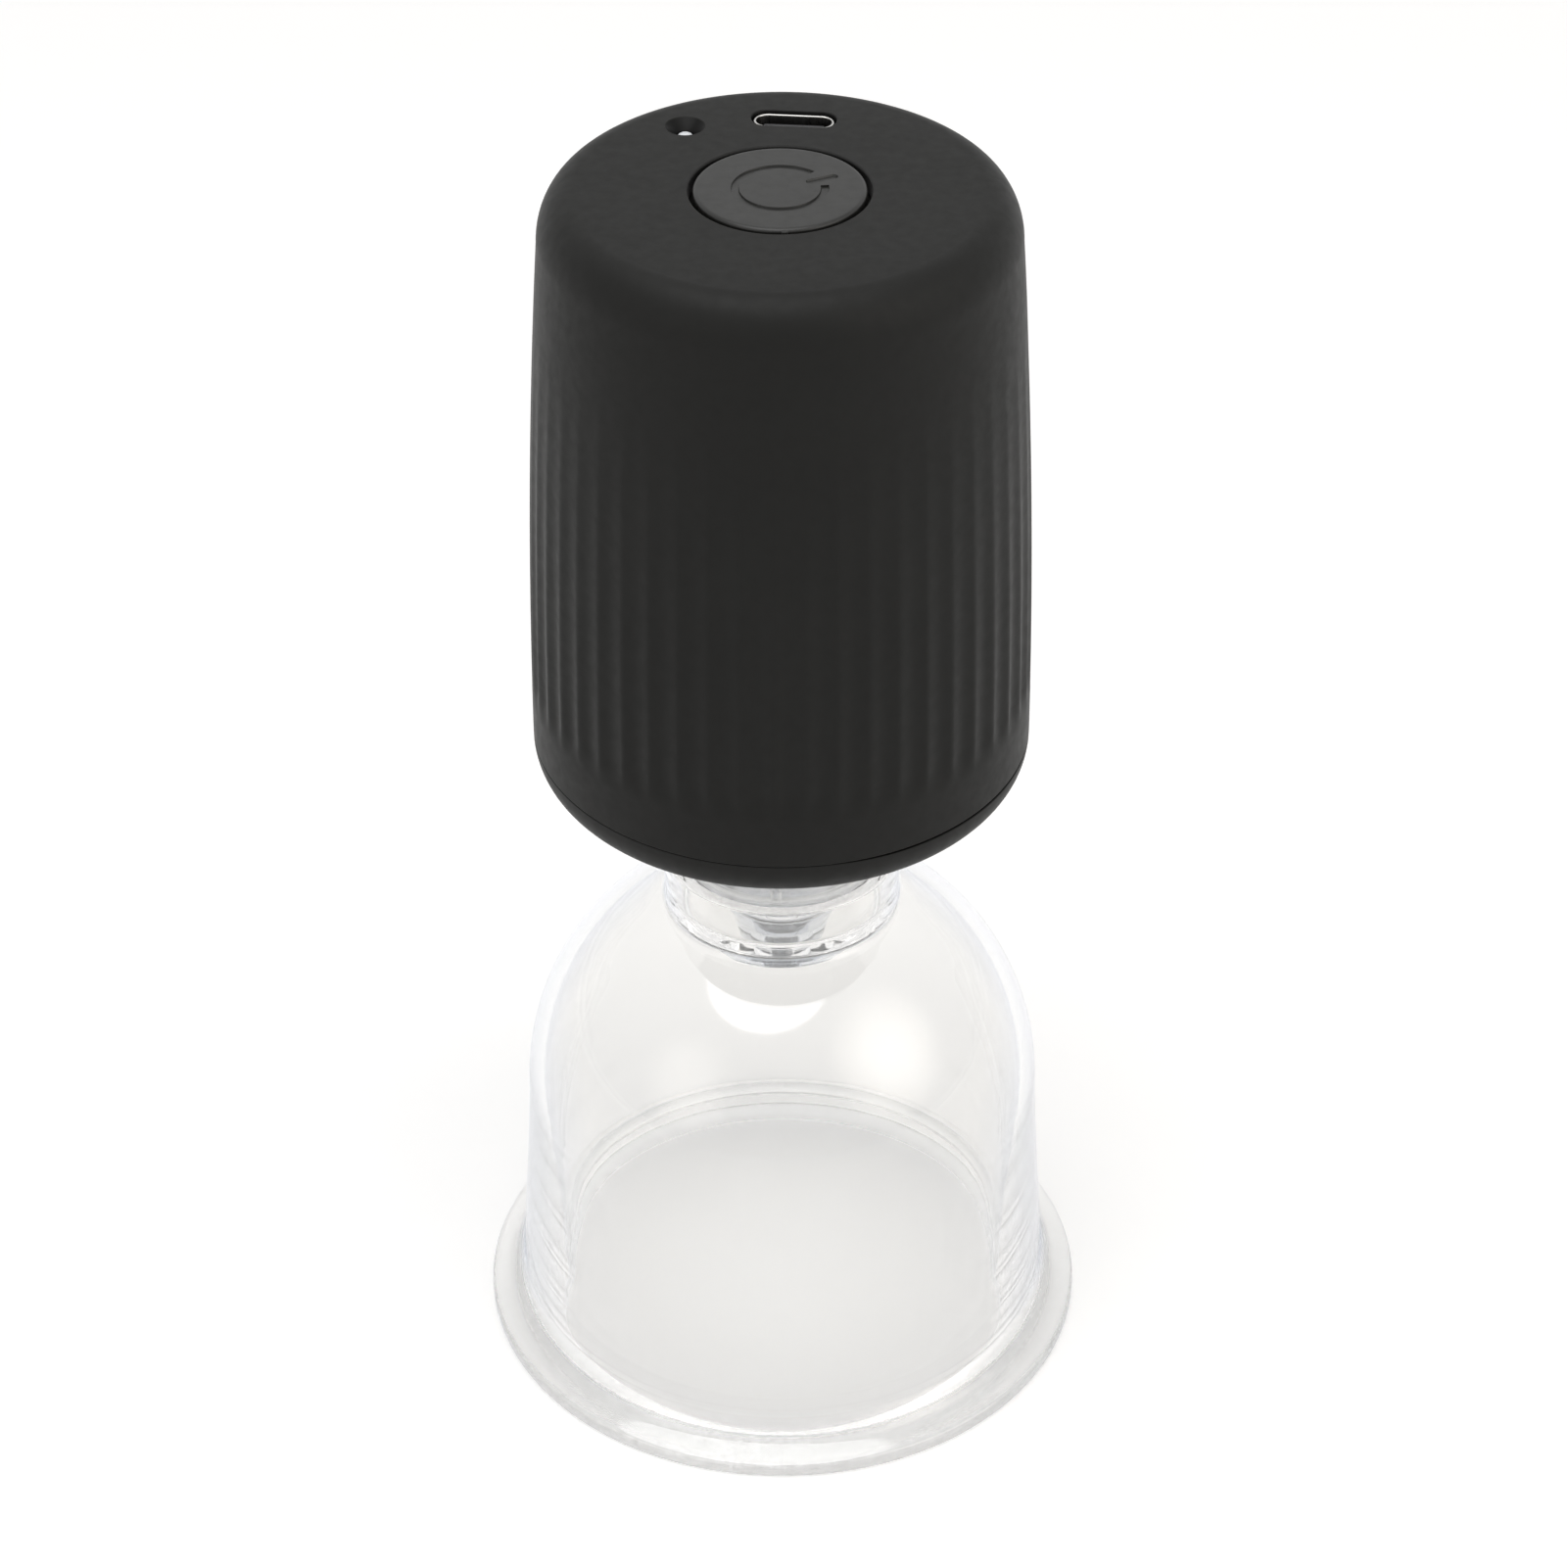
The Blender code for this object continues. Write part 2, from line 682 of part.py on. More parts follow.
def screw_profile(shaft, wide, height, tip, top):
    """A screw with its head up: shaft radius, head radius and height, and its two end levels."""
    shoulder = top - height
    return [
        (0, top),
        (wide - EDGE_ROUND, top),
        (wide, top - EDGE_ROUND),
        (wide, shoulder),
        (shaft, shoulder),
        (shaft, tip + shaft),
        (0, tip),
    ]


def head_down(profile):
    """The same outline upside down, between the same levels, still run from the top."""
    levels = [z for _, z in profile]
    return [(r, min(levels) + max(levels) - z) for r, z in reversed(profile)]


def make_cup_shell():
    """The clear bell with its rim, collar, well and valve chamber, as one closed profile."""
    brim_start = CUP_BRIM_RISE + CUP_BRIM_FILLET
    fillet_radius = COLLAR_RADIUS + COLLAR_FILLET
    dome_start = math.acos(fillet_radius / CUP_DOME_RADIUS)
    fillet_foot = CUP_SHOULDER_HEIGHT + CUP_DOME_RADIUS * math.sin(dome_start)
    boss_foot = CHAMBER_FOOT_RADIUS + CHAMBER_WALL
    boss_root = CHAMBER_MOUTH_RADIUS + CHAMBER_WALL
    boss_angle = math.acos(boss_root / BORE_RADIUS)
    dome = (0, CUP_SHOULDER_HEIGHT)
    profile = [
        (COLLAR_RADIUS - EDGE_ROUND, COLLAR_TOP),
        (COLLAR_RADIUS, COLLAR_TOP - EDGE_ROUND),
        (COLLAR_RADIUS, fillet_foot + COLLAR_FILLET),
        *arc(dome, (CUP_DOME_RADIUS,) * 2, (math.degrees(dome_start), 0), DOME_PIECES),
        *arc(
            (CUP_FOOT_RADIUS + CUP_BRIM_FILLET, brim_start),
            (CUP_BRIM_FILLET,) * 2,
            CUP_BRIM_ARC,
            FILLET_PIECES,
        ),
        (CUP_RIM_RADIUS - CUP_RIM_ROUND, CUP_RIM_EDGE + CUP_RIM_ROUND),
        (CUP_RIM_RADIUS, CUP_RIM_EDGE),
        (CUP_RIM_RADIUS, CUP_RIM_ROUND),
        (CUP_RIM_RADIUS - CUP_RIM_ROUND, 0),
        (CUP_MOUTH_RADIUS + CUP_RIM_ROUND, 0),
        (CUP_MOUTH_RADIUS, CUP_RIM_ROUND),
        *arc(dome, (BORE_RADIUS,) * 2, (0, math.degrees(boss_angle)), DOME_PIECES),
        (boss_foot, BOSS_BOTTOM + EDGE_ROUND),
        (boss_foot - EDGE_ROUND, BOSS_BOTTOM),
        (VALVE_HOLE_RADIUS, BOSS_BOTTOM),
        (VALVE_HOLE_RADIUS, CHAMBER_BOTTOM),
        (CHAMBER_FOOT_RADIUS, CHAMBER_BOTTOM),
        (CHAMBER_MOUTH_RADIUS, WELL_FLOOR),
        (WELL_RADIUS, WELL_FLOOR),
        (WELL_RADIUS, COLLAR_TOP),
    ]
    turned("cup_shell", profile, FINE_STEPS, clear_plastic())


def make_cup_valve():
    """The soft plug that closes the chamber's hole, and the pull pin through it."""
    seat = CHAMBER_BOTTOM + GAP
    stem_bottom = BOSS_BOTTOM + SEAL_STEM_SINK
    head_top = seat + SEAL_HEAD_HEIGHT
    seal = [
        (SEAL_BORE, head_top),
        (SEAL_HEAD_RADIUS - EDGE_ROUND, head_top),
        (SEAL_HEAD_RADIUS, head_top - EDGE_ROUND),
        (SEAL_HEAD_RADIUS, seat),
        (SEAL_STEM_RADIUS, seat),
        (SEAL_STEM_RADIUS, stem_bottom),
        (SEAL_BORE, stem_bottom),
    ]
    turned("valve_seal", seal, COARSE_STEPS, pale_silicone())
    shoulder = head_top + GAP
    tip = shoulder + PIN_LENGTH_ABOVE_SEAL
    foot_top = stem_bottom - GAP
    foot_bottom = foot_top - PIN_FOOT_HEIGHT
    wide = PIN_RADIUS + PIN_SHOULDER
    pin = [
        (0, tip),
        (PIN_RADIUS - EDGE_ROUND, tip),
        (PIN_RADIUS, tip - EDGE_ROUND),
        (PIN_RADIUS, shoulder + PIN_SHOULDER_HEIGHT),
        (wide, shoulder + PIN_SHOULDER_HEIGHT),
        (wide, shoulder),
        (PIN_RADIUS, shoulder),
        (PIN_RADIUS, foot_top),
        (wide, foot_top),
        (wide, foot_bottom),
        (0, foot_bottom),
    ]
    turned("valve_pin", pin, SMALL_STEPS, clear_plastic(), closed=False)


def flute_tool_mesh():
    """One flute's cutter: a bar that follows the side, sinks in at its foot and runs out above."""
    low = HEAD_BOTTOM + FLUTE_END_RISE + FLUTE_END_RAMP
    high = HEAD_BOTTOM + HEAD_HEIGHT * FLUTE_TOP_SHARE
    facet = math.cos(math.pi / FLUTE_COUNT)
    reach = FLUTE_TOOL_RADIUS - FLUTE_DEPTH
    points = [(head_radius(low) * facet + reach, 0, low - FLUTE_END_RAMP)]
    radii = [reach]
    for i in range(FLUTE_PIECES + 2):
        share = i / FLUTE_PIECES
        z = low + (high - low) * share
        points.append((head_radius(z) * facet + reach + FLUTE_DEPTH * share, 0, z))
        radii.append(FLUTE_TOOL_RADIUS)
    return tube_mesh("flute_tool", points, radii, EDGE_PIECES, capped=True)


def make_flute_cutter(name, first, tool, head):
    """Every second flute's cutter as one object, because neighbours would cross."""
    work = bmesh.new()
    for index in range(first, FLUTE_COUNT, 2):
        placed = tool.copy()
        placed.transform(Matrix.Rotation(math.tau * (index + 0.5) / FLUTE_COUNT, 4, "Z"))
        work.from_mesh(placed)
        bpy.data.meshes.remove(placed)
    return add_object(name, mesh_of(work, name), parent=head)


def make_outer_shell(head):
    """The head's side and top, with the flutes, the socket's slot and the light's funnel cut."""
    corner = (HEAD_TOP_RADIUS - TOP_FILLET_RUN, HEAD_TOP - TOP_FILLET_DROP)
    inner_radii = (TOP_FILLET_RUN - SHELL_WALL, TOP_FILLET_DROP - SHELL_WALL)
    levels = [SEAM_Z + (corner[1] - SEAM_Z) * i / SIDE_PIECES for i in range(SIDE_PIECES)]
    profile = [
        (BUTTON_HOLE_RADIUS, CEILING),
        (BUTTON_HOLE_RADIUS, HEAD_TOP - EDGE_ROUND),
        (BUTTON_HOLE_RADIUS + EDGE_ROUND, HEAD_TOP),
        *arc(corner, (TOP_FILLET_RUN, TOP_FILLET_DROP), (90, 0), FILLET_PIECES),
        *((head_radius(z), z) for z in reversed(levels)),
        *((head_radius(z) - SHELL_WALL, z) for z in levels[:-1]),
        *arc(corner, inner_radii, (0, 90), EDGE_PIECES),
    ]
    shell = turned("outer_shell", profile, FLUTE_COUNT, soft_black(), head)
    tool = flute_tool_mesh()
    for first, name in enumerate(("flutes_even", "flutes_odd")):
        cut(shell, make_flute_cutter(name, first, tool, head))
    slot_size = (USB_WIDTH + 2 * USB_CLEARANCE, USB_THICKNESS + 2 * USB_CLEARANCE)
    slot = block(
        "socket_slot",
        slot_size,
        CEILING - CUT_OVERRUN,
        HEAD_TOP + CUT_OVERRUN,
        parent=head,
        place=(0, USB_OFFSET),
        corner=slot_size[1] / 2 - RUNNING_FIT,
    )
    hole = PIPE_RADIUS + SLIDING_FIT
    funnel = [
        (0, HEAD_TOP + CUT_OVERRUN),
        (LIGHT_MOUTH_RADIUS, HEAD_TOP + CUT_OVERRUN),
        (LIGHT_MOUTH_RADIUS, HEAD_TOP),
        (hole, HEAD_TOP - LIGHT_FUNNEL_DEPTH),
        (hole, CEILING - CUT_OVERRUN),
        (0, CEILING - CUT_OVERRUN),
    ]
    place = polar(LIGHT_CIRCLE, LIGHT_AZIMUTH)
    cut(shell, slot, turned("light_funnel", funnel, SMALL_STEPS, parent=head, place=place, closed=False))


def post_places():
    return [polar(POST_CIRCLE, azimuth) for azimuth in POST_AZIMUTHS]


def make_base_cap(head):
    """The bottom cover: rounded edge, lip inside the shell, nozzle opening and screw bosses."""
    rim = SEAM_Z - SEAM_GAP
    lip_top = LOWER_PLATE_BOTTOM - GAP
    lip_inner = LIP_RADIUS - CAP_LIP_WALL
    opening = NOZZLE_NECK_RADIUS + GAP
    edge = (HEAD_BOTTOM_RADIUS - BOTTOM_FILLET, HEAD_BOTTOM + BOTTOM_FILLET)
    hollow = (lip_inner - CAP_INNER_FILLET, CAP_FLOOR + CAP_INNER_FILLET)
    profile = [
        (lip_inner, lip_top),
        (LIP_RADIUS, lip_top),
        (LIP_RADIUS, rim),
        (head_radius(rim), rim),
        *arc(edge, (BOTTOM_FILLET,) * 2, BOTTOM_FILLET_ARC, FILLET_PIECES),
        (opening + EDGE_ROUND, HEAD_BOTTOM),
        (opening, HEAD_BOTTOM + EDGE_ROUND),
        (opening, CAP_FLOOR),
        *arc(hollow, (CAP_INNER_FILLET,) * 2, (-90, 0), EDGE_PIECES),
    ]
    cap = turned("base_cap", profile, FINE_STEPS, soft_black(), head)
    recess = HEAD_BOTTOM + SCREW_RECESS
    for place in post_places():
        add_boss(cap, SCREW_BOSS_RADIUS, (HEAD_BOTTOM + CAP_FLOOR) / 2, lip_top, place)
        drill(cap, SCREW_RADIUS + GAP, HEAD_BOTTOM, lip_top, place)
        drill_blind(cap, SCREW_HEAD_RADIUS + GAP, HEAD_BOTTOM, recess, place)


def make_base_screws(head):
    """The screws that go up through the cap's bosses into the chassis posts."""
    bottom = HEAD_BOTTOM + SCREW_RECESS - GAP - SCREW_HEAD
    tip = LOWER_PLATE_TOP + SCREW_BITE
    profile = head_down(screw_profile(SCREW_RADIUS, SCREW_HEAD_RADIUS, SCREW_HEAD, bottom, tip))
    for number, place in enumerate(post_places(), 1):
        turned(f"base_screw_{number}", profile, TINY_STEPS, steel(), head, place, closed=False)


def make_nozzle(head):
    """The soft suction nozzle: flange, neck, waist and a bell lip that seats in the cup's well."""
    bottom = WELL_FLOOR + GAP
    flange_bottom = CAP_FLOOR + GAP
    flange_top = flange_bottom + NOZZLE_FLANGE
    span = HEAD_BOTTOM - bottom
    lip = WELL_RADIUS - NOZZLE_LIP_CLEARANCE
    waist = NOZZLE_NECK_RADIUS - NOZZLE_WAIST_CUT
    waist_low, waist_high = (bottom + span * share for share in NOZZLE_WAIST_SHARES)
    bell_radii = (lip - NOZZLE_LIP_WALL - NOZZLE_BORE_RADIUS, NOZZLE_BELL_DEPTH)
    profile = [
        (NOZZLE_BORE_RADIUS, flange_top),
        (NOZZLE_FLANGE_RADIUS, flange_top),
        (NOZZLE_FLANGE_RADIUS, flange_bottom),
        (NOZZLE_NECK_RADIUS, flange_bottom),
        (NOZZLE_NECK_RADIUS, bottom + span * NOZZLE_NECK_SHARE),
        (waist, waist_high),
        (waist, waist_low),
        (lip, bottom + span * NOZZLE_LIP_SHARE),
        (lip, bottom + NOZZLE_LIP_ROUND),
        (lip - NOZZLE_LIP_ROUND, bottom),
        *arc((NOZZLE_BORE_RADIUS, bottom), bell_radii, NOZZLE_BELL_ARC, FILLET_PIECES),
        (NOZZLE_BORE_RADIUS, bottom + NOZZLE_BELL_DEPTH),
    ]
    turned("docking_nozzle", profile, COARSE_STEPS, pale_silicone(), head)


def make_manifold(head):
    """The tee over the nozzle: spigot down, one barb up to the pump and two out to the sides."""
    inlet = (PUMP_X + PORT_OFFSET, 0)
    spigot_radius = NOZZLE_BORE_RADIUS - GAP
    spigot_bottom = MANIFOLD_BOTTOM - SPIGOT_LENGTH
    barb_top = MANIFOLD_TOP + UPRIGHT_BARB
    tee = disc(
        "air_manifold",
        MANIFOLD_RADIUS,
        MANIFOLD_BOTTOM,
        MANIFOLD_TOP,
        COARSE_STEPS,
        pump_plastic(),
        head,
    )
    add_boss(tee, spigot_radius, spigot_bottom, BARB_LEVEL)
    add_boss(tee, BARB_RADIUS, BARB_LEVEL, barb_top, inlet)
    for azimuth in (POCKET_AZIMUTH, -POCKET_AZIMUTH):
        root = (*polar(MANIFOLD_RADIUS / 2, azimuth), BARB_LEVEL)
        tip = (*polar(MANIFOLD_RADIUS + BARB_LENGTH, azimuth), BARB_LEVEL)
        join(tee, rod("side_barb", BARB_RADIUS, root, tip, TINY_STEPS, parent=head))
    drill_blind(tee, SPIGOT_BORE, spigot_bottom, (BARB_LEVEL + MANIFOLD_TOP) / 2)
    drill_blind(tee, AIR_BORE, barb_top, (MANIFOLD_BOTTOM + BARB_LEVEL) / 2, inlet)
    for azimuth in (POCKET_AZIMUTH, -POCKET_AZIMUTH):
        start = (*polar(SPIGOT_BORE / 2, azimuth), BARB_LEVEL)
        past = (*polar(MANIFOLD_RADIUS + BARB_LENGTH + CUT_OVERRUN, azimuth), BARB_LEVEL)
        cut(tee, rod("side_gallery", AIR_BORE, start, past, TINY_STEPS, parent=head))
    start = (-SPIGOT_BORE / 2, 0, BARB_LEVEL)
    cut(tee, rod("pump_gallery", AIR_BORE, start, (*inlet, BARB_LEVEL), TINY_STEPS, parent=head))


def make_pump_tube(head):
    """The short straight tube between the tee's upright barb and the pump's inlet port."""
    ring(
        "pump_tube",
        TUBE_RADIUS,
        TUBE_BORE,
        MANIFOLD_TOP + GAP,
        DECK - GAP,
        SMALL_STEPS,
        pale_silicone(),
        head,
        (PUMP_X + PORT_OFFSET, 0),
    )


def make_side_tube(name, azimuth, circle, top, head):
    """A tube that leaves the tee sideways, bends up once and runs straight to a port above."""
    centre = (circle - TUBE_BEND, BARB_LEVEL + TUBE_BEND)
    bend = arc(centre, (TUBE_BEND,) * 2, (-90, 0), FILLET_PIECES)
    line = [(MANIFOLD_RADIUS + GAP, BARB_LEVEL), *bend, (circle, top)]
    points = [(*polar(r, azimuth), z) for r, z in line]
    mesh = tube_mesh(name, points, [TUBE_RADIUS] * len(points), TUBE_RESOLUTION, capped=False)
    wall = add_object(name, mesh, pale_silicone(), head).modifiers.new("wall", "SOLIDIFY")
    wall.thickness = TUBE_WALL
    wall.offset = -1
    wall.use_even_offset = True


def make_frame(head):
    """The chassis: two plates on three posts, with a ring that holds the tee down, the battery's
    and the motor's rings, the board's bosses and the holes for tubes and screws."""
    low_middle = (LOWER_PLATE_BOTTOM + LOWER_PLATE_TOP) / 2
    high_middle = (UPPER_PLATE_BOTTOM + UPPER_PLATE_TOP) / 2
    frame = disc(
        "inner_frame",
        LIP_RADIUS - GAP,
        LOWER_PLATE_BOTTOM,
        LOWER_PLATE_TOP,
        FINE_STEPS,
        frame_plastic(),
        head,
    )
    add_boss(frame, ROOM_RADIUS, UPPER_PLATE_BOTTOM, UPPER_PLATE_TOP, steps=FINE_STEPS)
    for place in post_places():
        add_boss(frame, POST_RADIUS, low_middle, high_middle, place)
    rings = (
        (MANIFOLD_RADIUS, MANIFOLD_TOP + GAP, low_middle, 0),
        (CELL_RING_RADIUS, low_middle, LOWER_PLATE_TOP + POCKET_HEIGHT, CELL_X),
        (CELL_RING_RADIUS, UPPER_PLATE_BOTTOM - CELL_RING_DEPTH, high_middle, CELL_X),
        (SKIRT_RADIUS, UPPER_PLATE_BOTTOM - SKIRT_DEPTH, high_middle, PUMP_X),
    )
    for outer, low, high, x in rings:
        inner = outer - RING_WALL
        join(frame, ring("frame_ring", outer, inner, low, high, COARSE_STEPS, parent=head, place=(x, 0)))
    hole = SCREW_RADIUS + SLIDING_FIT
    for place in post_places():
        drill_blind(frame, hole, LOWER_PLATE_BOTTOM, LOWER_PLATE_TOP + SCREW_BITE + GAP, place)
    for x in (-BOARD_SCREW_X, BOARD_SCREW_X):
        add_boss(frame, BOARD_BOSS_RADIUS, high_middle, BOARD_BOTTOM - GAP, (x, 0))
        drill(frame, BOARD_SCREW_RADIUS + SLIDING_FIT, UPPER_PLATE_BOTTOM, BOARD_BOTTOM, (x, 0))
    plate = LOWER_PLATE_BOTTOM, LOWER_PLATE_TOP
    sensor = polar(POCKET_CIRCLE, -POCKET_AZIMUTH)
    drill(frame, TUBE_RADIUS + GAP, *plate, (PUMP_X + PORT_OFFSET, 0))
    drill(frame, BARB_RADIUS + GAP, *plate, (PUMP_X - PORT_OFFSET, 0))
    drill(frame, TUBE_RADIUS + GAP, *plate, polar(POCKET_CIRCLE, POCKET_AZIMUTH))
    drill(frame, TUBE_RADIUS + GAP, *plate, sensor)
    window = SENSOR_SIDE / math.sqrt(2) + 2 * GAP
    drill(frame, window, UPPER_PLATE_BOTTOM, UPPER_PLATE_TOP, sensor, SMALL_STEPS)


def make_board(head):
    """The round circuit board and the two screws that hold it."""
    board = disc("main_board", BOARD_RADIUS, BOARD_BOTTOM, BOARD_TOP, FINE_STEPS, board_green(), head)
    profile = screw_profile(
        BOARD_SCREW_RADIUS,
        BOARD_SCREW_HEAD_RADIUS,
        BOARD_SCREW_HEAD,
        BOARD_BOTTOM - BOARD_SCREW_BITE,
        BOARD_SEAT + BOARD_SCREW_HEAD,
    )
    for number, x in enumerate((-BOARD_SCREW_X, BOARD_SCREW_X), 1):
        drill(board, BOARD_SCREW_RADIUS + SLIDING_FIT, BOARD_BOTTOM, BOARD_TOP, (x, 0))
        turned(f"board_screw_{number}", profile, TINY_STEPS, steel(), head, (x, 0), closed=False)


def make_switch(head):
    """The push switch under the button, with its own plunger in a well."""
    size = (SWITCH_SIDE, SWITCH_SIDE)
    switch = block("tact_switch", size, BOARD_SEAT, SWITCH_TOP, chip_black(), head, corner=SWITCH_CORNER)
    foot = SWITCH_TOP - PLUNGER_SINK
    well_bottom = foot - GAP - BUTTON_TRAVEL
    drill_blind(switch, PLUNGER_RADIUS + SLIDING_FIT, SWITCH_TOP, well_bottom, steps=SMALL_STEPS)
    tip = SWITCH_TOP + PLUNGER_RISE
    disc("switch_plunger", PLUNGER_RADIUS, foot, tip, SMALL_STEPS, white_lens(), head)


def make_light(head):
    """The indicator light on the board, and the clear rod that carries it to the top."""
    place = polar(LIGHT_CIRCLE, LIGHT_AZIMUTH)
    led_top = BOARD_SEAT + LED_HEIGHT
    block("indicator_led", (LED_SIDE, LED_SIDE), BOARD_SEAT, led_top, white_lens(), head, place)
    flange_bottom = FLANGE_TOP - PIPE_FLANGE
    profile = [
        (0, HEAD_TOP - PIPE_SINK),
        (PIPE_RADIUS, HEAD_TOP - PIPE_SINK),
        (PIPE_RADIUS, FLANGE_TOP),
        (PIPE_FLANGE_RADIUS, FLANGE_TOP),
        (PIPE_FLANGE_RADIUS, flange_bottom),
        (PIPE_RADIUS, flange_bottom),
        (PIPE_RADIUS, led_top + GAP),
        (0, led_top + GAP),
    ]
    turned("light_pipe", profile, SMALL_STEPS, white_lens(), head, place, closed=False)


def make_sensor(head):
    """The pressure sensor under the board, with its port pointing down, and its tube."""
    place = polar(POCKET_CIRCLE, -POCKET_AZIMUTH)
    top = BOARD_BOTTOM - GAP
    bottom = top - SENSOR_HEIGHT
    tip = bottom - BARB_LENGTH
    middle = (bottom + top) / 2
    sensor = block("pressure_sensor", (SENSOR_SIDE, SENSOR_SIDE), bottom, top, chip_black(), head, place)
    add_boss(sensor, BARB_RADIUS, tip, middle, place)
    drill_blind(sensor, AIR_BORE, tip, middle, place)
    make_side_tube("sensor_tube", -POCKET_AZIMUTH, POCKET_CIRCLE, bottom - GAP, head)


def make_socket(head):
    """The charging socket: a drawn metal shell round an insulating block with its tongue."""
    top = HEAD_TOP - USB_SINK
    place = (0, USB_OFFSET)
    outer = (USB_WIDTH, USB_THICKNESS)
    inner = (USB_WIDTH - 2 * USB_WALL, USB_THICKNESS - 2 * USB_WALL)
    base = (inner[0] - 2 * SLIDING_FIT, inner[1] - 2 * SLIDING_FIT)
    base_top = BOARD_SEAT + USB_BASE_HEIGHT
    rounds = {size: size[1] / 2 - RUNNING_FIT for size in (outer, inner, base)}
    shell = block("usb_shell", outer, BOARD_SEAT, top, steel(), head, place, corner=rounds[outer])
    hollow_ends = BOARD_SEAT - CUT_OVERRUN, top + CUT_OVERRUN
    cut(shell, block("usb_hollow", inner, *hollow_ends, parent=head, place=place, corner=rounds[inner]))
    tongue = block("usb_tongue", base, BOARD_SEAT, base_top, chip_black(), head, place, corner=rounds[base])
    blade = (TONGUE_WIDTH, TONGUE_THICKNESS)
    blade_ends = (BOARD_SEAT + base_top) / 2, top - TONGUE_SINK
    join(tongue, block("tongue_blade", blade, *blade_ends, parent=head, place=place))


def make_button(head):
    """The push button: a shallow cap with a hidden flange, a boss over the switch and a small key."""
    radius = BUTTON_HOLE_RADIUS - BUTTON_CLEARANCE
    top = HEAD_TOP + BUTTON_PROUD
    shoulder = top - BUTTON_EDGE
    flange_radius = radius + BUTTON_FLANGE_WIDTH
    flange_bottom = FLANGE_TOP - BUTTON_FLANGE
    roof = top - BUTTON_ROOF
    skirt = radius - BUTTON_SKIRT_WALL
    boss_bottom = SWITCH_TOP + PLUNGER_RISE + GAP
    profile = [
        (0, top),
        *arc((radius - BUTTON_EDGE, shoulder), (BUTTON_EDGE,) * 2, (90, 0), EDGE_PIECES),
        (radius, FLANGE_TOP),
        (flange_radius, FLANGE_TOP),
        (flange_radius, flange_bottom),
        (skirt, flange_bottom),
        (skirt, roof),
        (BUTTON_BOSS_RADIUS, roof),
        (BUTTON_BOSS_RADIUS, boss_bottom),
        (0, boss_bottom),
    ]
    button = turned("power_button", profile, FINE_STEPS, button_grey(), head, closed=False)
    key = block(
        "button_key",
        (2 * BUTTON_KEY_REACH, BUTTON_KEY_WIDTH),
        shoulder - BUTTON_KEY_HEIGHT,
        shoulder,
        parent=head,
        place=polar(radius, BUTTON_KEY_AZIMUTH),
        turn=BUTTON_KEY_AZIMUTH,
    )
    join(button, key)


def pump_places(circle, turn=0.0):
    return [polar(circle, turn + math.tau * i / PUMP_CHAMBERS) for i in range(PUMP_CHAMBERS)]


def pump_screw_places():
    return pump_places(PUMP_SCREW_CIRCLE, math.pi / PUMP_CHAMBERS)


def make_pump_cover(pump):
    """The pump's bottom cover, with the inlet and outlet ports and the screw recesses."""
    cover = disc("pump_cover", PUMP_CASE_RADIUS, DECK, COVER_TOP, COARSE_STEPS, pump_plastic(), pump)
    tip = DECK - UPRIGHT_BARB
    for x in (-PORT_OFFSET, PORT_OFFSET):
        add_boss(cover, BARB_RADIUS, tip, (DECK + COVER_TOP) / 2, (x, 0))
        drill(cover, AIR_BORE, tip, COVER_TOP, (x, 0))
    recess = DECK + PUMP_SCREW_HEAD + 2 * GAP
    for place in pump_screw_places():
        drill(cover, PUMP_SCREW_RADIUS + SLIDING_FIT, DECK, COVER_TOP, place)
        drill_blind(cover, PUMP_SCREW_HEAD_RADIUS + SLIDING_FIT, DECK, recess, place)


def make_valve_plate(pump):
    """The plate with one air hole under each chamber."""
    plate = disc(
        "valve_plate",
        PUMP_CASE_RADIUS,
        VALVE_PLATE_BOTTOM,
        VALVE_PLATE_TOP,
        COARSE_STEPS,
        pump_plastic(),
        pump,
    )
    for place in pump_places(CHAMBER_CIRCLE):
        drill(plate, AIR_BORE, VALVE_PLATE_BOTTOM, VALVE_PLATE_TOP, place)
    for place in pump_screw_places():
        drill(plate, PUMP_SCREW_RADIUS + SLIDING_FIT, VALVE_PLATE_BOTTOM, VALVE_PLATE_TOP, place)


def make_diaphragm(pump):
    """The rubber sheet with its cups, open below, and the nubs that the wobble plate holds."""
    sheet = disc("diaphragm", PUMP_CASE_RADIUS, SHEET_BOTTOM, SHEET_TOP, COARSE_STEPS, rubber(), pump)
    roof = SHEET_TOP + CHAMBER_HEIGHT
    narrow = CHAMBER_RADIUS - CHAMBER_NARROWING
    sheet_middle = (SHEET_BOTTOM + SHEET_TOP) / 2
    bulb = [
        (0, roof + NUB_LENGTH),
        (NUB_RADIUS, roof + NUB_LENGTH),
        (NUB_RADIUS, roof),
        (narrow, roof),
        (CHAMBER_RADIUS, SHEET_TOP),
        (CHAMBER_RADIUS, sheet_middle),
        (0, sheet_middle),
    ]
    for place in pump_places(CHAMBER_CIRCLE):
        join(sheet, turned("bulb", bulb, TINY_STEPS, parent=pump, place=place, closed=False))
        hollow = rod(
            "bulb_hollow",
            CHAMBER_RADIUS - CHAMBER_SKIN,
            (*place, SHEET_BOTTOM - CUT_OVERRUN),
            (*place, roof - CHAMBER_SKIN),
            TINY_STEPS,
            parent=pump,
            end_radius=narrow - CHAMBER_SKIN,
        )
        cut(sheet, hollow)
    for place in pump_screw_places():
        drill(sheet, PUMP_SCREW_RADIUS + SLIDING_FIT, SHEET_BOTTOM, SHEET_TOP, place)


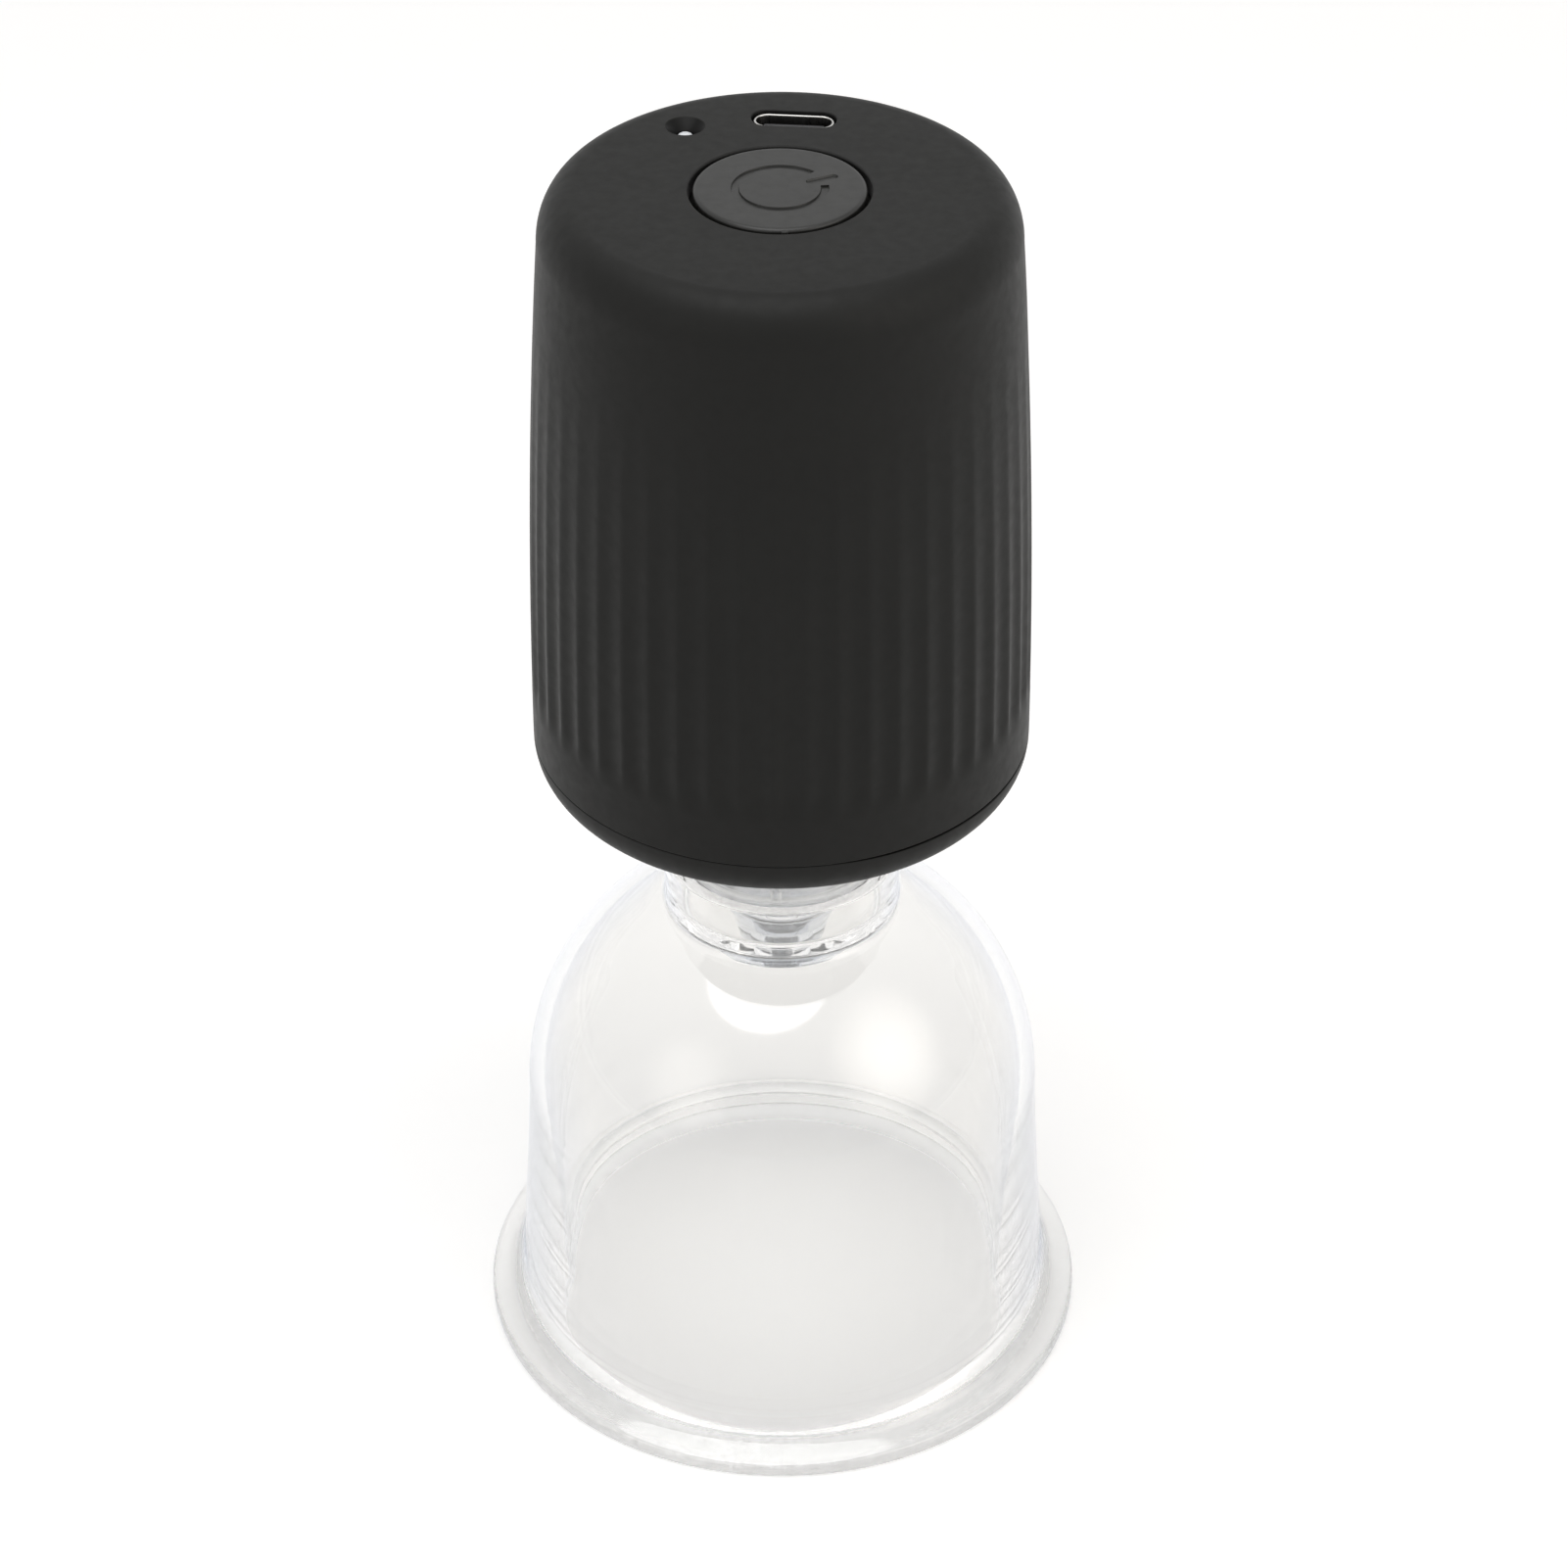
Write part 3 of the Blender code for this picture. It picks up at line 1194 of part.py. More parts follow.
def make_pump_case(pump):
    """The ring housing round the wobble drive, with screw bosses and the deck that holds the motor."""
    inner = PUMP_CASE_RADIUS - PUMP_CASE_WALL
    collar = MOTOR_BOSS_RADIUS + GAP
    deck_bottom = CASE_TOP - PUMP_CASE_DECK
    profile = [
        (collar, CASE_TOP),
        (PUMP_CASE_RADIUS, CASE_TOP),
        (PUMP_CASE_RADIUS, CASE_BOTTOM),
        (inner, CASE_BOTTOM),
        (inner, deck_bottom),
        (collar, deck_bottom),
    ]
    case = turned("pump_case", profile, COARSE_STEPS, pump_plastic(), pump)
    boss_radius = inner + PUMP_CASE_WALL / 2 - PUMP_SCREW_CIRCLE
    hole_top = CASE_BOTTOM + PUMP_SCREW_BITE + GAP
    for place in pump_screw_places():
        add_boss(case, boss_radius, CASE_BOTTOM, hole_top + GAP, place)
        drill_blind(case, PUMP_SCREW_RADIUS + SLIDING_FIT, CASE_BOTTOM, hole_top, place)


def make_pump_screws(pump):
    """The long screws that clamp the cover, the plate and the diaphragm under the case."""
    tip = CASE_BOTTOM + PUMP_SCREW_BITE
    upright = screw_profile(PUMP_SCREW_RADIUS, PUMP_SCREW_HEAD_RADIUS, PUMP_SCREW_HEAD, DECK + GAP, tip)
    profile = head_down(upright)
    for number, place in enumerate(pump_screw_places(), 1):
        turned(f"pump_screw_{number}", profile, TINY_STEPS, steel(), pump, place, closed=False)


def make_wobble_drive(pump):
    """The eccentric hub, its slanted pin and the three-armed plate, drawn in its level pose."""
    hub = disc("eccentric", ECCENTRIC_RADIUS, ECCENTRIC_BOTTOM, ECCENTRIC_TOP, COARSE_STEPS, brass(), pump)
    tilt = math.asin(CRANK_OFFSET / CRANK_LENGTH)
    pin_top = Vector((CRANK_OFFSET, 0, ECCENTRIC_BOTTOM + CRANK_SEAT))
    pin_end = Vector((0, 0, pin_top.z - CRANK_LENGTH * math.cos(tilt)))
    seat_top = pin_top + (pin_top - pin_end).normalized() * RUNNING_FIT
    shaft_seat = ECCENTRIC_TOP - SHAFT_SEAT
    drill_blind(hub, SHAFT_RADIUS + RUNNING_FIT, ECCENTRIC_TOP, shaft_seat, steps=SMALL_STEPS)
    cut(hub, rod("crank_seat", CRANK_RADIUS + RUNNING_FIT, pin_end, seat_top, TINY_STEPS, parent=pump))
    rod("crank_pin", CRANK_RADIUS, pin_end, pin_top, TINY_STEPS, steel(), pump)
    arm_low = SHEET_TOP + CHAMBER_HEIGHT + GAP
    arm_high = arm_low + WOBBLE_ARM_THICKNESS
    plate_low = pin_end.z + GAP
    plate_high = plate_low + WOBBLE_HUB_HEIGHT

    def swept(z):
        """Radius that the turning pin sweeps at a level, with clearance."""
        return (z - pin_end.z) * math.tan(tilt) + CRANK_RADIUS / math.cos(tilt) + SLIDING_FIT

    profile = [
        (swept(plate_high), plate_high),
        (WOBBLE_HUB_RADIUS, plate_high),
        (WOBBLE_HUB_RADIUS, plate_low),
        (swept(plate_low), plate_low),
    ]
    plate = turned("wobble_plate", profile, COARSE_STEPS, frame_plastic(), pump)
    start = (WOBBLE_HUB_RADIUS + swept(arm_high)) / 2
    end = CHAMBER_CIRCLE + WOBBLE_ARM_REACH
    for index in range(PUMP_CHAMBERS):
        angle = math.tau * index / PUMP_CHAMBERS
        size = (end - start, WOBBLE_ARM_WIDTH)
        middle = polar((start + end) / 2, angle)
        join(plate, block("wobble_arm", size, arm_low, arm_high, parent=pump, place=middle, turn=angle))
        drill(plate, NUB_RADIUS + SLIDING_FIT, arm_low, arm_high, polar(CHAMBER_CIRCLE, angle))


def can_level(share):
    """A level inside the motor can, as a share of its length."""
    return CAN_BOTTOM + (CAN_TOP - CAN_BOTTOM) * share


def make_motor_can(pump):
    """The steel can with its front boss, and the end cap."""
    seat = SHAFT_RADIUS + BUSH_WALL + 2 * RUNNING_FIT
    inner = MOTOR_RADIUS - MOTOR_WALL
    boss_bottom = CAN_BOTTOM - MOTOR_BOSS_HEIGHT
    profile = [
        (inner, CAN_TOP),
        (MOTOR_RADIUS, CAN_TOP),
        (MOTOR_RADIUS, CAN_BOTTOM),
        (MOTOR_BOSS_RADIUS, CAN_BOTTOM),
        (MOTOR_BOSS_RADIUS, boss_bottom),
        (seat, boss_bottom),
        (seat, CAN_BOTTOM + MOTOR_WALL),
        (inner, CAN_BOTTOM + MOTOR_WALL),
    ]
    turned("motor_can", profile, COARSE_STEPS, steel(), pump)
    cap_radius = MOTOR_RADIUS - GAP
    ends = END_CAP_BOTTOM, END_CAP_TOP
    cap = ring("motor_end_cap", cap_radius, seat, *ends, COARSE_STEPS, frame_plastic(), pump)
    slot_size = (BRUSH_THICKNESS + 2 * SLIDING_FIT, BRUSH_WIDTH + 2 * SLIDING_FIT)
    slot_ends = END_CAP_BOTTOM - CUT_OVERRUN, END_CAP_TOP + CUT_OVERRUN
    for x in (-BRUSH_OFFSET, BRUSH_OFFSET):
        cut(cap, block("brush_slot", slot_size, *slot_ends, parent=pump, place=(x, 0)))


def make_bushes(pump):
    """The shaft's two plain bearings."""
    bore = SHAFT_RADIUS + RUNNING_FIT
    bottoms = {"front_bush": CAN_BOTTOM - MOTOR_BOSS_HEIGHT, "rear_bush": END_CAP_BOTTOM}
    for name, bottom in bottoms.items():
        ring(name, bore + BUSH_WALL, bore, bottom, bottom + BUSH_LENGTH, SMALL_STEPS, brass(), pump)


def make_magnets(pump):
    """The two curved magnets that line the can."""
    outer = MOTOR_RADIUS - MOTOR_WALL - SLIDING_FIT
    low, high = (can_level(share) for share in MAGNET_SHARES)
    for name, side in (("magnet_front", -1), ("magnet_back", 1)):
        magnet = ring(name, outer, outer - MAGNET_THICKNESS, low, high, COARSE_STEPS, ferrite(), pump)
        rest_size = (2 * MOTOR_RADIUS, 2 * MOTOR_RADIUS)
        rest_place = (0, side * (MAGNET_PARTING - MOTOR_RADIUS))
        rest_ends = low - CUT_OVERRUN, high + CUT_OVERRUN
        cut(magnet, block("magnet_rest", rest_size, *rest_ends, parent=pump, place=rest_place))


def make_brushes(pump):
    """The two contact strips: a leaf on the commutator and a tab up through the end cap."""
    leaf_middle = can_level(BRUSH_SHARE)
    low, high = leaf_middle - BRUSH_THICKNESS / 2, leaf_middle + BRUSH_THICKNESS / 2
    tab_top = END_CAP_TOP + MOTOR_HEADROOM - 2 * GAP
    contact = SHAFT_RADIUS + RUNNING_FIT + COMMUTATOR_WALL + GAP
    for name, side in (("brush_left", -1), ("brush_right", 1)):
        tab_size, tab_place = (BRUSH_THICKNESS, BRUSH_WIDTH), (side * BRUSH_OFFSET, 0)
        strip = block(name, tab_size, low, tab_top, copper(), pump, tab_place)
        leaf_size = (BRUSH_OFFSET - contact, BRUSH_WIDTH)
        leaf_place = (side * (BRUSH_OFFSET + contact) / 2, 0)
        join(strip, block("brush_leaf", leaf_size, low, high, parent=pump, place=leaf_place))


def make_motor_sleeve(pump):
    """The rubber ring that seats the motor in the chassis skirt."""
    low, high = (can_level(share) for share in SLEEVE_SHARES)
    outer = SKIRT_RADIUS - RING_WALL - GAP
    ring("motor_sleeve", outer, MOTOR_RADIUS + GAP, low, high, COARSE_STEPS, rubber(), pump)


def make_shaft(pump):
    """The motor's shaft with its commutator."""
    bottom = ECCENTRIC_TOP - SHAFT_SEAT + GAP
    disc("motor_shaft", SHAFT_RADIUS, bottom, END_CAP_TOP + SHAFT_TAIL, SMALL_STEPS, steel(), pump)
    bore = SHAFT_RADIUS + RUNNING_FIT
    low, high = (can_level(share) for share in COMMUTATOR_SHARES)
    ring("commutator", bore + COMMUTATOR_WALL, bore, low, high, SMALL_STEPS, copper(), pump)


def make_armature(pump):
    """The laminated core with its pole shoes, and a winding round each pole."""
    ends = tuple(can_level(share) for share in CORE_SHARES)
    winding_ends = tuple(can_level(share) for share in WINDING_SHARES)
    radius = MOTOR_RADIUS - MOTOR_WALL - SLIDING_FIT - MAGNET_THICKNESS - AIR_GAP
    hub, shoe = radius * CORE_HUB_SHARE, radius * CORE_SHOE_SHARE
    shoe_middle = radius - shoe / 2
    bore = SHAFT_RADIUS + RUNNING_FIT
    core = ring("armature_core", hub, bore, *ends, COARSE_STEPS, steel(), pump)
    shoes = ring("core_shoes", radius, radius - shoe, *ends, COARSE_STEPS, parent=pump)
    slot_ends = ends[0] - CUT_OVERRUN, ends[1] + CUT_OVERRUN
    hollow_ends = ends[0] - SLIDING_FIT, ends[1] + SLIDING_FIT
    hollow_width = CORE_ARM_WIDTH + 2 * SLIDING_FIT
    width = hollow_width + 2 * WINDING_BUILD
    arm_start = hub - shoe / 2
    inner_side = (radius - shoe) * math.cos(math.pi / COARSE_STEPS) - GAP
    coil_start, coil_end = hub + GAP, math.sqrt(inner_side**2 - width**2 / 4)
    for index in range(CORE_POLES):
        angle = math.tau * index / CORE_POLES
        between = angle + math.pi / CORE_POLES
        slot_size = (2 * shoe, CORE_SLOT_WIDTH)
        slot_place = polar(shoe_middle, between)
        cut(shoes, block("shoe_slot", slot_size, *slot_ends, parent=pump, place=slot_place, turn=between))
        arm_size = (shoe_middle - arm_start, CORE_ARM_WIDTH)
        arm_place = polar((arm_start + shoe_middle) / 2, angle)
        join(core, block("core_arm", arm_size, *ends, parent=pump, place=arm_place, turn=angle))
        name, size = f"winding_{index + 1}", (coil_end - coil_start, width)
        place = polar((coil_start + coil_end) / 2, angle)
        winding = block(name, size, *winding_ends, winding_wire(), pump, place, angle)
        hollow = (2 * radius, hollow_width)
        cut(winding, block("winding_hollow", hollow, *hollow_ends, parent=pump, place=place, turn=angle))
    join(core, shoes)


def make_release_valve(valve):
    """The small electric valve that lets air back in: ported cap, can, coil and plunger."""
    cap_top = DECK + RELEASE_CAP_HEIGHT
    nub_radius = AIR_BORE + RELEASE_WALL
    nub_top = cap_top + RELEASE_NUB_HEIGHT
    cap = [
        (AIR_BORE, nub_top),
        (nub_radius, nub_top),
        (nub_radius, cap_top),
        (RELEASE_RADIUS, cap_top),
        (RELEASE_RADIUS, DECK),
        (BARB_RADIUS, DECK),
        (BARB_RADIUS, DECK - BARB_LENGTH),
        (AIR_BORE, DECK - BARB_LENGTH),
    ]
    turned("release_valve_cap", cap, COARSE_STEPS, pump_plastic(), valve)
    bottom = cap_top + GAP
    top = bottom + RELEASE_CAN_HEIGHT
    inner = RELEASE_RADIUS - RELEASE_WALL
    can = [
        (0, top),
        (RELEASE_RADIUS - EDGE_ROUND, top),
        (RELEASE_RADIUS, top - EDGE_ROUND),
        (RELEASE_RADIUS, bottom),
        (inner, bottom),
        (inner, top - RELEASE_WALL),
        (0, top - RELEASE_WALL),
    ]
    turned("release_valve_can", can, COARSE_STEPS, steel(), valve, closed=False)
    bore = RELEASE_PLUNGER_RADIUS + GAP
    flange = inner - GAP
    wound = flange - COIL_WINDING_INSET
    coil_top = bottom + (RELEASE_CAN_HEIGHT - RELEASE_WALL) * COIL_SHARE
    coil = [
        (bore, coil_top),
        (flange, coil_top),
        (flange, coil_top - COIL_FLANGE),
        (wound, coil_top - COIL_FLANGE),
        (wound, bottom + COIL_FLANGE),
        (flange, bottom + COIL_FLANGE),
        (flange, bottom),
        (bore, bottom),
    ]
    turned("release_coil", coil, COARSE_STEPS, winding_wire(), valve)
    ends = nub_top + GAP, nub_top + GAP + RELEASE_PLUNGER_LENGTH
    disc("release_plunger", RELEASE_PLUNGER_RADIUS, *ends, SMALL_STEPS, steel(), valve)


def make_battery(head):
    """The round rechargeable cell in its pocket, with the foam ring round its terminal."""
    groove = CELL_TOP - CELL_CRIMP_DROP
    profile = [
        (0, CELL_TOP + CELL_TERMINAL_HEIGHT),
        (CELL_TERMINAL_RADIUS, CELL_TOP + CELL_TERMINAL_HEIGHT),
        (CELL_TERMINAL_RADIUS, CELL_TOP),
        (CELL_RADIUS - CELL_ROUND, CELL_TOP),
        (CELL_RADIUS, CELL_TOP - CELL_ROUND),
        (CELL_RADIUS, groove + CELL_CRIMP),
        (CELL_RADIUS - CELL_CRIMP, groove),
        (CELL_RADIUS, groove - CELL_CRIMP),
        (CELL_RADIUS, DECK + CELL_ROUND),
        (CELL_RADIUS - CELL_ROUND, DECK),
        (0, DECK),
    ]
    place = (CELL_X, 0)
    turned("battery_cell", profile, COARSE_STEPS, cell_wrap(), head, place, closed=False)
    low = CELL_TOP + GAP
    outer = CELL_RADIUS - CELL_ROUND
    ring("battery_pad", outer, CELL_PAD_BORE, low, low + CELL_PAD, COARSE_STEPS, foam(), head, place)


def make_head(head):
    """What the head's own axis carries."""
    make_outer_shell(head)
    make_base_cap(head)
    make_base_screws(head)
    make_nozzle(head)
    make_manifold(head)
    make_pump_tube(head)
    make_side_tube("valve_tube", POCKET_AZIMUTH, POCKET_CIRCLE, DECK - GAP, head)
    make_frame(head)
    make_board(head)
    make_switch(head)
    make_light(head)
    make_sensor(head)
    make_socket(head)
    make_button(head)
    make_battery(head)


def make_motor_pump(pump):
    """The diaphragm pump and the motor above it, on one axis."""
    make_pump_cover(pump)
    make_valve_plate(pump)
    make_diaphragm(pump)
    make_pump_case(pump)
    make_pump_screws(pump)
    make_wobble_drive(pump)
    make_motor_can(pump)
    make_bushes(pump)
    make_magnets(pump)
    make_brushes(pump)
    make_motor_sleeve(pump)
    make_shaft(pump)
    make_armature(pump)


def main():
    make_cup_shell()
    make_cup_valve()
    head = empty("head_axis", turn=HEAD_TURN)
    make_head(head)
    make_motor_pump(empty("motor_axis", head, (PUMP_X, 0)))
    make_release_valve(empty("release_axis", head, polar(POCKET_CIRCLE, POCKET_AZIMUTH)))
    bpy.context.view_layer.update()


main()
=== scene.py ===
"""Finished look of an electric cupping massager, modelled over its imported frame."""

import math

import bpy
from bpy.props import FloatProperty, FloatVectorProperty, IntProperty, PointerProperty
from bpy.types import Operator, Panel, PropertyGroup
from mathutils import Matrix, Vector


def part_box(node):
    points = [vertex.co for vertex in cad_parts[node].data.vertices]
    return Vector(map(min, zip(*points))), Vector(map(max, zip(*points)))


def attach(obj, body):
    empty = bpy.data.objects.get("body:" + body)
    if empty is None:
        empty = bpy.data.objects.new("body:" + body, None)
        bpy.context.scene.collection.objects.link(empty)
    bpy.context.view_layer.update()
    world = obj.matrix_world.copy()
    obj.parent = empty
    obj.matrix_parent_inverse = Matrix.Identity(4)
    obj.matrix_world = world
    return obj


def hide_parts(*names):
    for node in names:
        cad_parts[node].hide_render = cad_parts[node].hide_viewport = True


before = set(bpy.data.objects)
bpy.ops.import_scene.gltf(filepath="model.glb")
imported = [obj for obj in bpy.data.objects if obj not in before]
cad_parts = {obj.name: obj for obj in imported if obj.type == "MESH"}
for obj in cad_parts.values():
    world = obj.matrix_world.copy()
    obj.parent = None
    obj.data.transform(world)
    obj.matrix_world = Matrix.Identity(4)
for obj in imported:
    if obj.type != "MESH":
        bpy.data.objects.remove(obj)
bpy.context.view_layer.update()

bl_info = {
    "name": "Cupping Massager",
    "version": (1, 0, 0),
    "blender": (4, 5, 0),
    "location": "3D View > Sidebar > Massager",
    "description": "Models the finished pieces of an electric cupping massager over its frame",
    "category": "Object",
}

MM = 0.001
# The head stands turned a little on its cup
HEAD_TURN = Matrix.Rotation(math.radians(-5.4), 4, "Z")
HEAD_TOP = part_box("outer_shell")[1].z
HEAD_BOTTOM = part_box("base_cap")[0].z
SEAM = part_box("outer_shell")[0].z
# Levels in millimetres between which the head's side tapers
HEEL, SHOULDER = 85.98, 149.8
# Centre of the cup's dome, as (radius, level) in millimetres
DOME = (0, 33.2)
# Opening of the symbol's ring in degrees
SYMBOL_GAP = 38


# Sizes and colours that a user may change


def length(name, text, value):
    """A length property in metres."""
    return FloatProperty(
        name=name, description=text, default=value, min=0, precision=5, unit="LENGTH"
    )


def colour(name, text, value):
    """A colour property."""
    return FloatVectorProperty(
        name=name, description=text, default=value, size=3, min=0, max=1, subtype="COLOR"
    )


def brightness(name, text, value):
    """A brightness, where 1 shows a white surface as white."""
    return FloatProperty(name=name, description=text, default=value, min=0)


class MassagerSizes(PropertyGroup):
    """Sizes of the details that the frame leaves to the finished pieces."""

    flute_count: IntProperty(name="Flutes", description="Flutes round the head", default=50, min=3)
    flute_depth: length("Flute depth", "Depth of a flute at its foot", 0.00042)
    flute_foot: length("Flute foot", "Level at which the flutes start", 0.0918)
    flute_ramp: length("Flute ramp", "Height over which a flute's foot sinks in", 0.0042)
    flute_head: length("Flute head", "Level at which the flutes run out", 0.1428)
    seam_lift: length("Seam lift", "How far the base cap's rim rises on its closed side", 0.00025)
    symbol_depth: length("Symbol depth", "Depth of the engraved on/off symbol", 0.0002)
    symbol_stroke: length("Symbol stroke", "Width of the engraved strokes", 0.00105)
    symbol_radius: length("Symbol radius", "Middle radius of the symbol's ring", 0.00483)


class MassagerColours(PropertyGroup):
    """Colours of the outer pieces."""

    head: colour("Head", "Soft black of the head", (0.0062, 0.0062, 0.0056))
    head_worn: colour("Head, worn", "Where the soft black is rubbed", (0.0073, 0.0073, 0.0066))
    button: colour("Button", "Plastic of the button", (0.0125, 0.0125, 0.0115))
    plastic: colour("Clear plastic", "Tint of the clear plastic", (0.945, 0.943, 0.935))
    # Painted shade: a darker bluish tint where the clear plastic is seen edge-on
    plastic_edge_shade: colour("Clear plastic, edge", "Tint seen along its surface", (0.50, 0.57, 0.75))
    # Painted shade: a greyer tint of the clear plastic for the valve chamber's thick walls
    plastic_chamber_shade: colour("Chamber plastic", "Tint of the chamber's walls", (0.84, 0.86, 0.90))
    silicone: colour("Silicone", "Clear silicone of the nozzle and the plug", (0.97, 0.975, 0.975))
    light: colour("Light tip", "Tip of the status light", (0.85, 0.87, 0.90))
    metal: colour("Metal", "Bright metal of the socket and the screws", (0.62, 0.61, 0.59))


class MassagerStudio(PropertyGroup):
    """Floor and lamps."""

    floor: colour("Floor", "Colour of the floor", (0.86, 0.855, 0.85))
    floor_glow: brightness("Floor glow", "Light that the floor shows of its own", 0.26)
    # Painted light: a ring of glow on the floor under the clear rim
    painted_rim_glow: brightness("Rim glow", "Light that the clear rim gathers on the floor under it", 0.25)
    sky: brightness("Room", "Light that the room gives from all sides", 0.40)
    overhead: brightness("Overhead", "Face of the softbox overhead", 2.95)
    right: brightness("Right", "Face of the softbox on the right", 2.1)
    left: brightness("Left", "Face of the softbox on the left", 1.0)


# Profiles, as (radius from the axis, level) in millimetres


def arc(centre, radii, span, pieces):
    """Points of an elliptic arc from the first to the last angle in degrees."""
    first, last = map(math.radians, span)
    angles = [first + (last - first) * piece / pieces for piece in range(pieces + 1)]
    (x, y), (across, up) = centre, radii
    return [(x + across * math.cos(angle), y + up * math.sin(angle)) for angle in angles]


def polar(radius, azimuth):
    """A place in plan, from its distance to the axis and its azimuth in degrees."""
    azimuth = math.radians(azimuth)
    return (radius * math.cos(azimuth), radius * math.sin(azimuth))


# Places in the head's top, in millimetres
SOCKET = (0, 16.58)
LIGHT = polar(18.1, 130.5)


def flowing(points, pieces):
    """A smooth curve through all the points."""
    ends = [points[0], *points, points[-1]]
    curve = []
    for before, here, there, after in zip(ends, ends[1:], ends[2:], ends[3:]):
        p, q, r, s = (Vector(point) for point in (before, here, there, after))
        for piece in range(pieces):
            t = piece / pieces
            bend = (2 * p - 5 * q + 4 * r - s) * t * t + (3 * q - p - 3 * r + s) * t**3
            curve.append(tuple((2 * q + (r - p) * t + bend) / 2))
    return [*curve, points[-1]]


def softened(corners, pieces=4):
    """A closed profile; a corner with a third number is rounded by that radius."""
    points = []
    for index, corner in enumerate(corners):
        here = Vector(corner[:2])
        if len(corner) < 3:
            points.append(tuple(here))
            continue
        before = (Vector(corners[index - 1][:2]) - here).normalized()
        after = (Vector(corners[(index + 1) % len(corners)][:2]) - here).normalized()
        half = before.angle(after) / 2
        reach = corner[2] / math.tan(half)
        centre = here + (before + after).normalized() * corner[2] / math.sin(half)
        start, end = here + before * reach - centre, here + after * reach - centre
        turn = start.angle_signed(end)
        points.append(tuple(here + before * reach * 1.25))
        for piece in range(pieces + 1):
            points.append(tuple(centre + Matrix.Rotation(-turn * piece / pieces, 2) @ start))
        points.append(tuple(here + after * reach * 1.25))
    return points


# Modelling steps


def clear_selection():
    """Leaves edit mode and deselects everything."""
    if bpy.context.object and bpy.context.object.mode != "OBJECT":
        bpy.ops.object.mode_set(mode="OBJECT")
    bpy.ops.object.select_all(action="DESELECT")


def make_active(piece):
    """Selects one piece alone."""
    clear_selection()
    piece.select_set(True)
    bpy.context.view_layer.objects.active = piece


def named(name):
    """What was just made, with its name given to it and to its data."""
    piece = bpy.context.object
    piece.name = piece.data.name = name
    return piece


def apply_place():
    """Moves the place, turn and scale of what is selected into its mesh."""
    bpy.ops.object.transform_apply(location=True, rotation=True, scale=True)


def edit_all():
    """Edits the active piece with all of it selected."""
    bpy.ops.object.mode_set(mode="EDIT")
    bpy.ops.mesh.select_all(action="SELECT")


def draw_on(radius, level, new_radius, new_level):
    """Extrudes the selected ring of edges to its next radius and level."""
    move = {"value": (0, 0, (new_level - level) * MM)}
    bpy.ops.mesh.extrude_edges_move(TRANSFORM_OT_translate=move)
    if new_radius and new_radius != radius:
        share = new_radius / radius
        bpy.ops.transform.resize(value=(share, share, 1), center_override=(0, 0, 0))
    if not new_radius:
        bpy.ops.mesh.merge(type="CENTER")


def select_where(piece, test):
    """Selects the points of the edited mesh that pass a test."""
    bpy.ops.mesh.select_all(action="DESELECT")
    bpy.ops.object.mode_set(mode="OBJECT")
    for vertex in piece.data.vertices:
        vertex.select = test(vertex.co)
    bpy.ops.object.mode_set(mode="EDIT")


def select_open_edges():
    """Selects the rim of every opening of the edited mesh."""
    bpy.ops.mesh.select_all(action="DESELECT")
    bpy.ops.mesh.select_non_manifold(
        extend=False, use_wire=True, use_multi_face=False, use_non_contiguous=False, use_verts=False
    )


def close_up():
    """Merges what meets, turns the faces outwards and leaves edit mode."""
    bpy.ops.mesh.select_all(action="SELECT")
    bpy.ops.mesh.remove_doubles(threshold=0.000002)
    bpy.ops.mesh.normals_make_consistent(inside=False)
    bpy.ops.object.mode_set(mode="OBJECT")


def turned(name, profile, steps):
    """A round piece, drawn ring by ring from a circle; a radius of 0 closes an end."""
    rings = [point for point in profile if point[0] > 0]
    clear_selection()
    bpy.ops.mesh.primitive_circle_add(
        vertices=steps, radius=rings[0][0] * MM, location=(0, 0, rings[0][1] * MM)
    )
    piece = named(name)
    apply_place()
    edit_all()
    for here, there in zip(rings, rings[1:]):
        draw_on(*here, *there)
    if profile[-1][0] == 0:
        draw_on(*rings[-1], *profile[-1])
    if profile[0][0] == 0:
        select_open_edges()
        draw_on(*rings[0], *profile[0])
    if profile[0][0] and profile[-1][0]:
        draw_on(*rings[-1], *rings[0])
    close_up()
    return piece


def slot_ring(name, width, depth, level, steps):
    """A circle of edges pulled out to a slot with round ends, in edit mode."""
    clear_selection()
    bpy.ops.mesh.primitive_circle_add(
        vertices=steps,
        radius=depth / 2 * MM,
        location=(0, 0, level * MM),
        rotation=(0, 0, math.pi / steps),
    )
    piece = named(name)
    apply_place()
    edit_all()
    for side in (1, -1):
        select_where(piece, lambda point: point.x * side > 0)
        bpy.ops.transform.translate(value=(side * (width - depth) / 2 * MM, 0, 0))
    bpy.ops.mesh.select_all(action="SELECT")
    return piece


def slot_solid(name, outline, steps):
    """A solid with a slot's outline, from (width, depth, level) rings."""
    piece = slot_ring(name, *outline[0], steps)
    for (width, depth, level), (new_width, new_depth, new_level) in zip(outline, outline[1:]):
        move = {"value": (0, 0, (new_level - level) * MM)}
        bpy.ops.mesh.extrude_edges_move(TRANSFORM_OT_translate=move)
        share = (new_width / width, new_depth / depth, 1)
        bpy.ops.transform.resize(value=share, center_override=(0, 0, 0))
    select_open_edges()
    bpy.ops.mesh.edge_face_add()
    close_up()
    return piece


def bar(name, size, centre):
    """A bar with rounded edges, from a cube at its size and place."""
    clear_selection()
    bpy.ops.mesh.primitive_cube_add(size=1, location=[value * MM for value in centre])
    piece = named(name)
    piece.scale = [value * MM for value in size]
    apply_place()
    edit_all()
    bpy.ops.mesh.bevel(offset=min(size) * 0.18 * MM, segments=2, affect="EDGES")
    bpy.ops.object.mode_set(mode="OBJECT")
    return piece


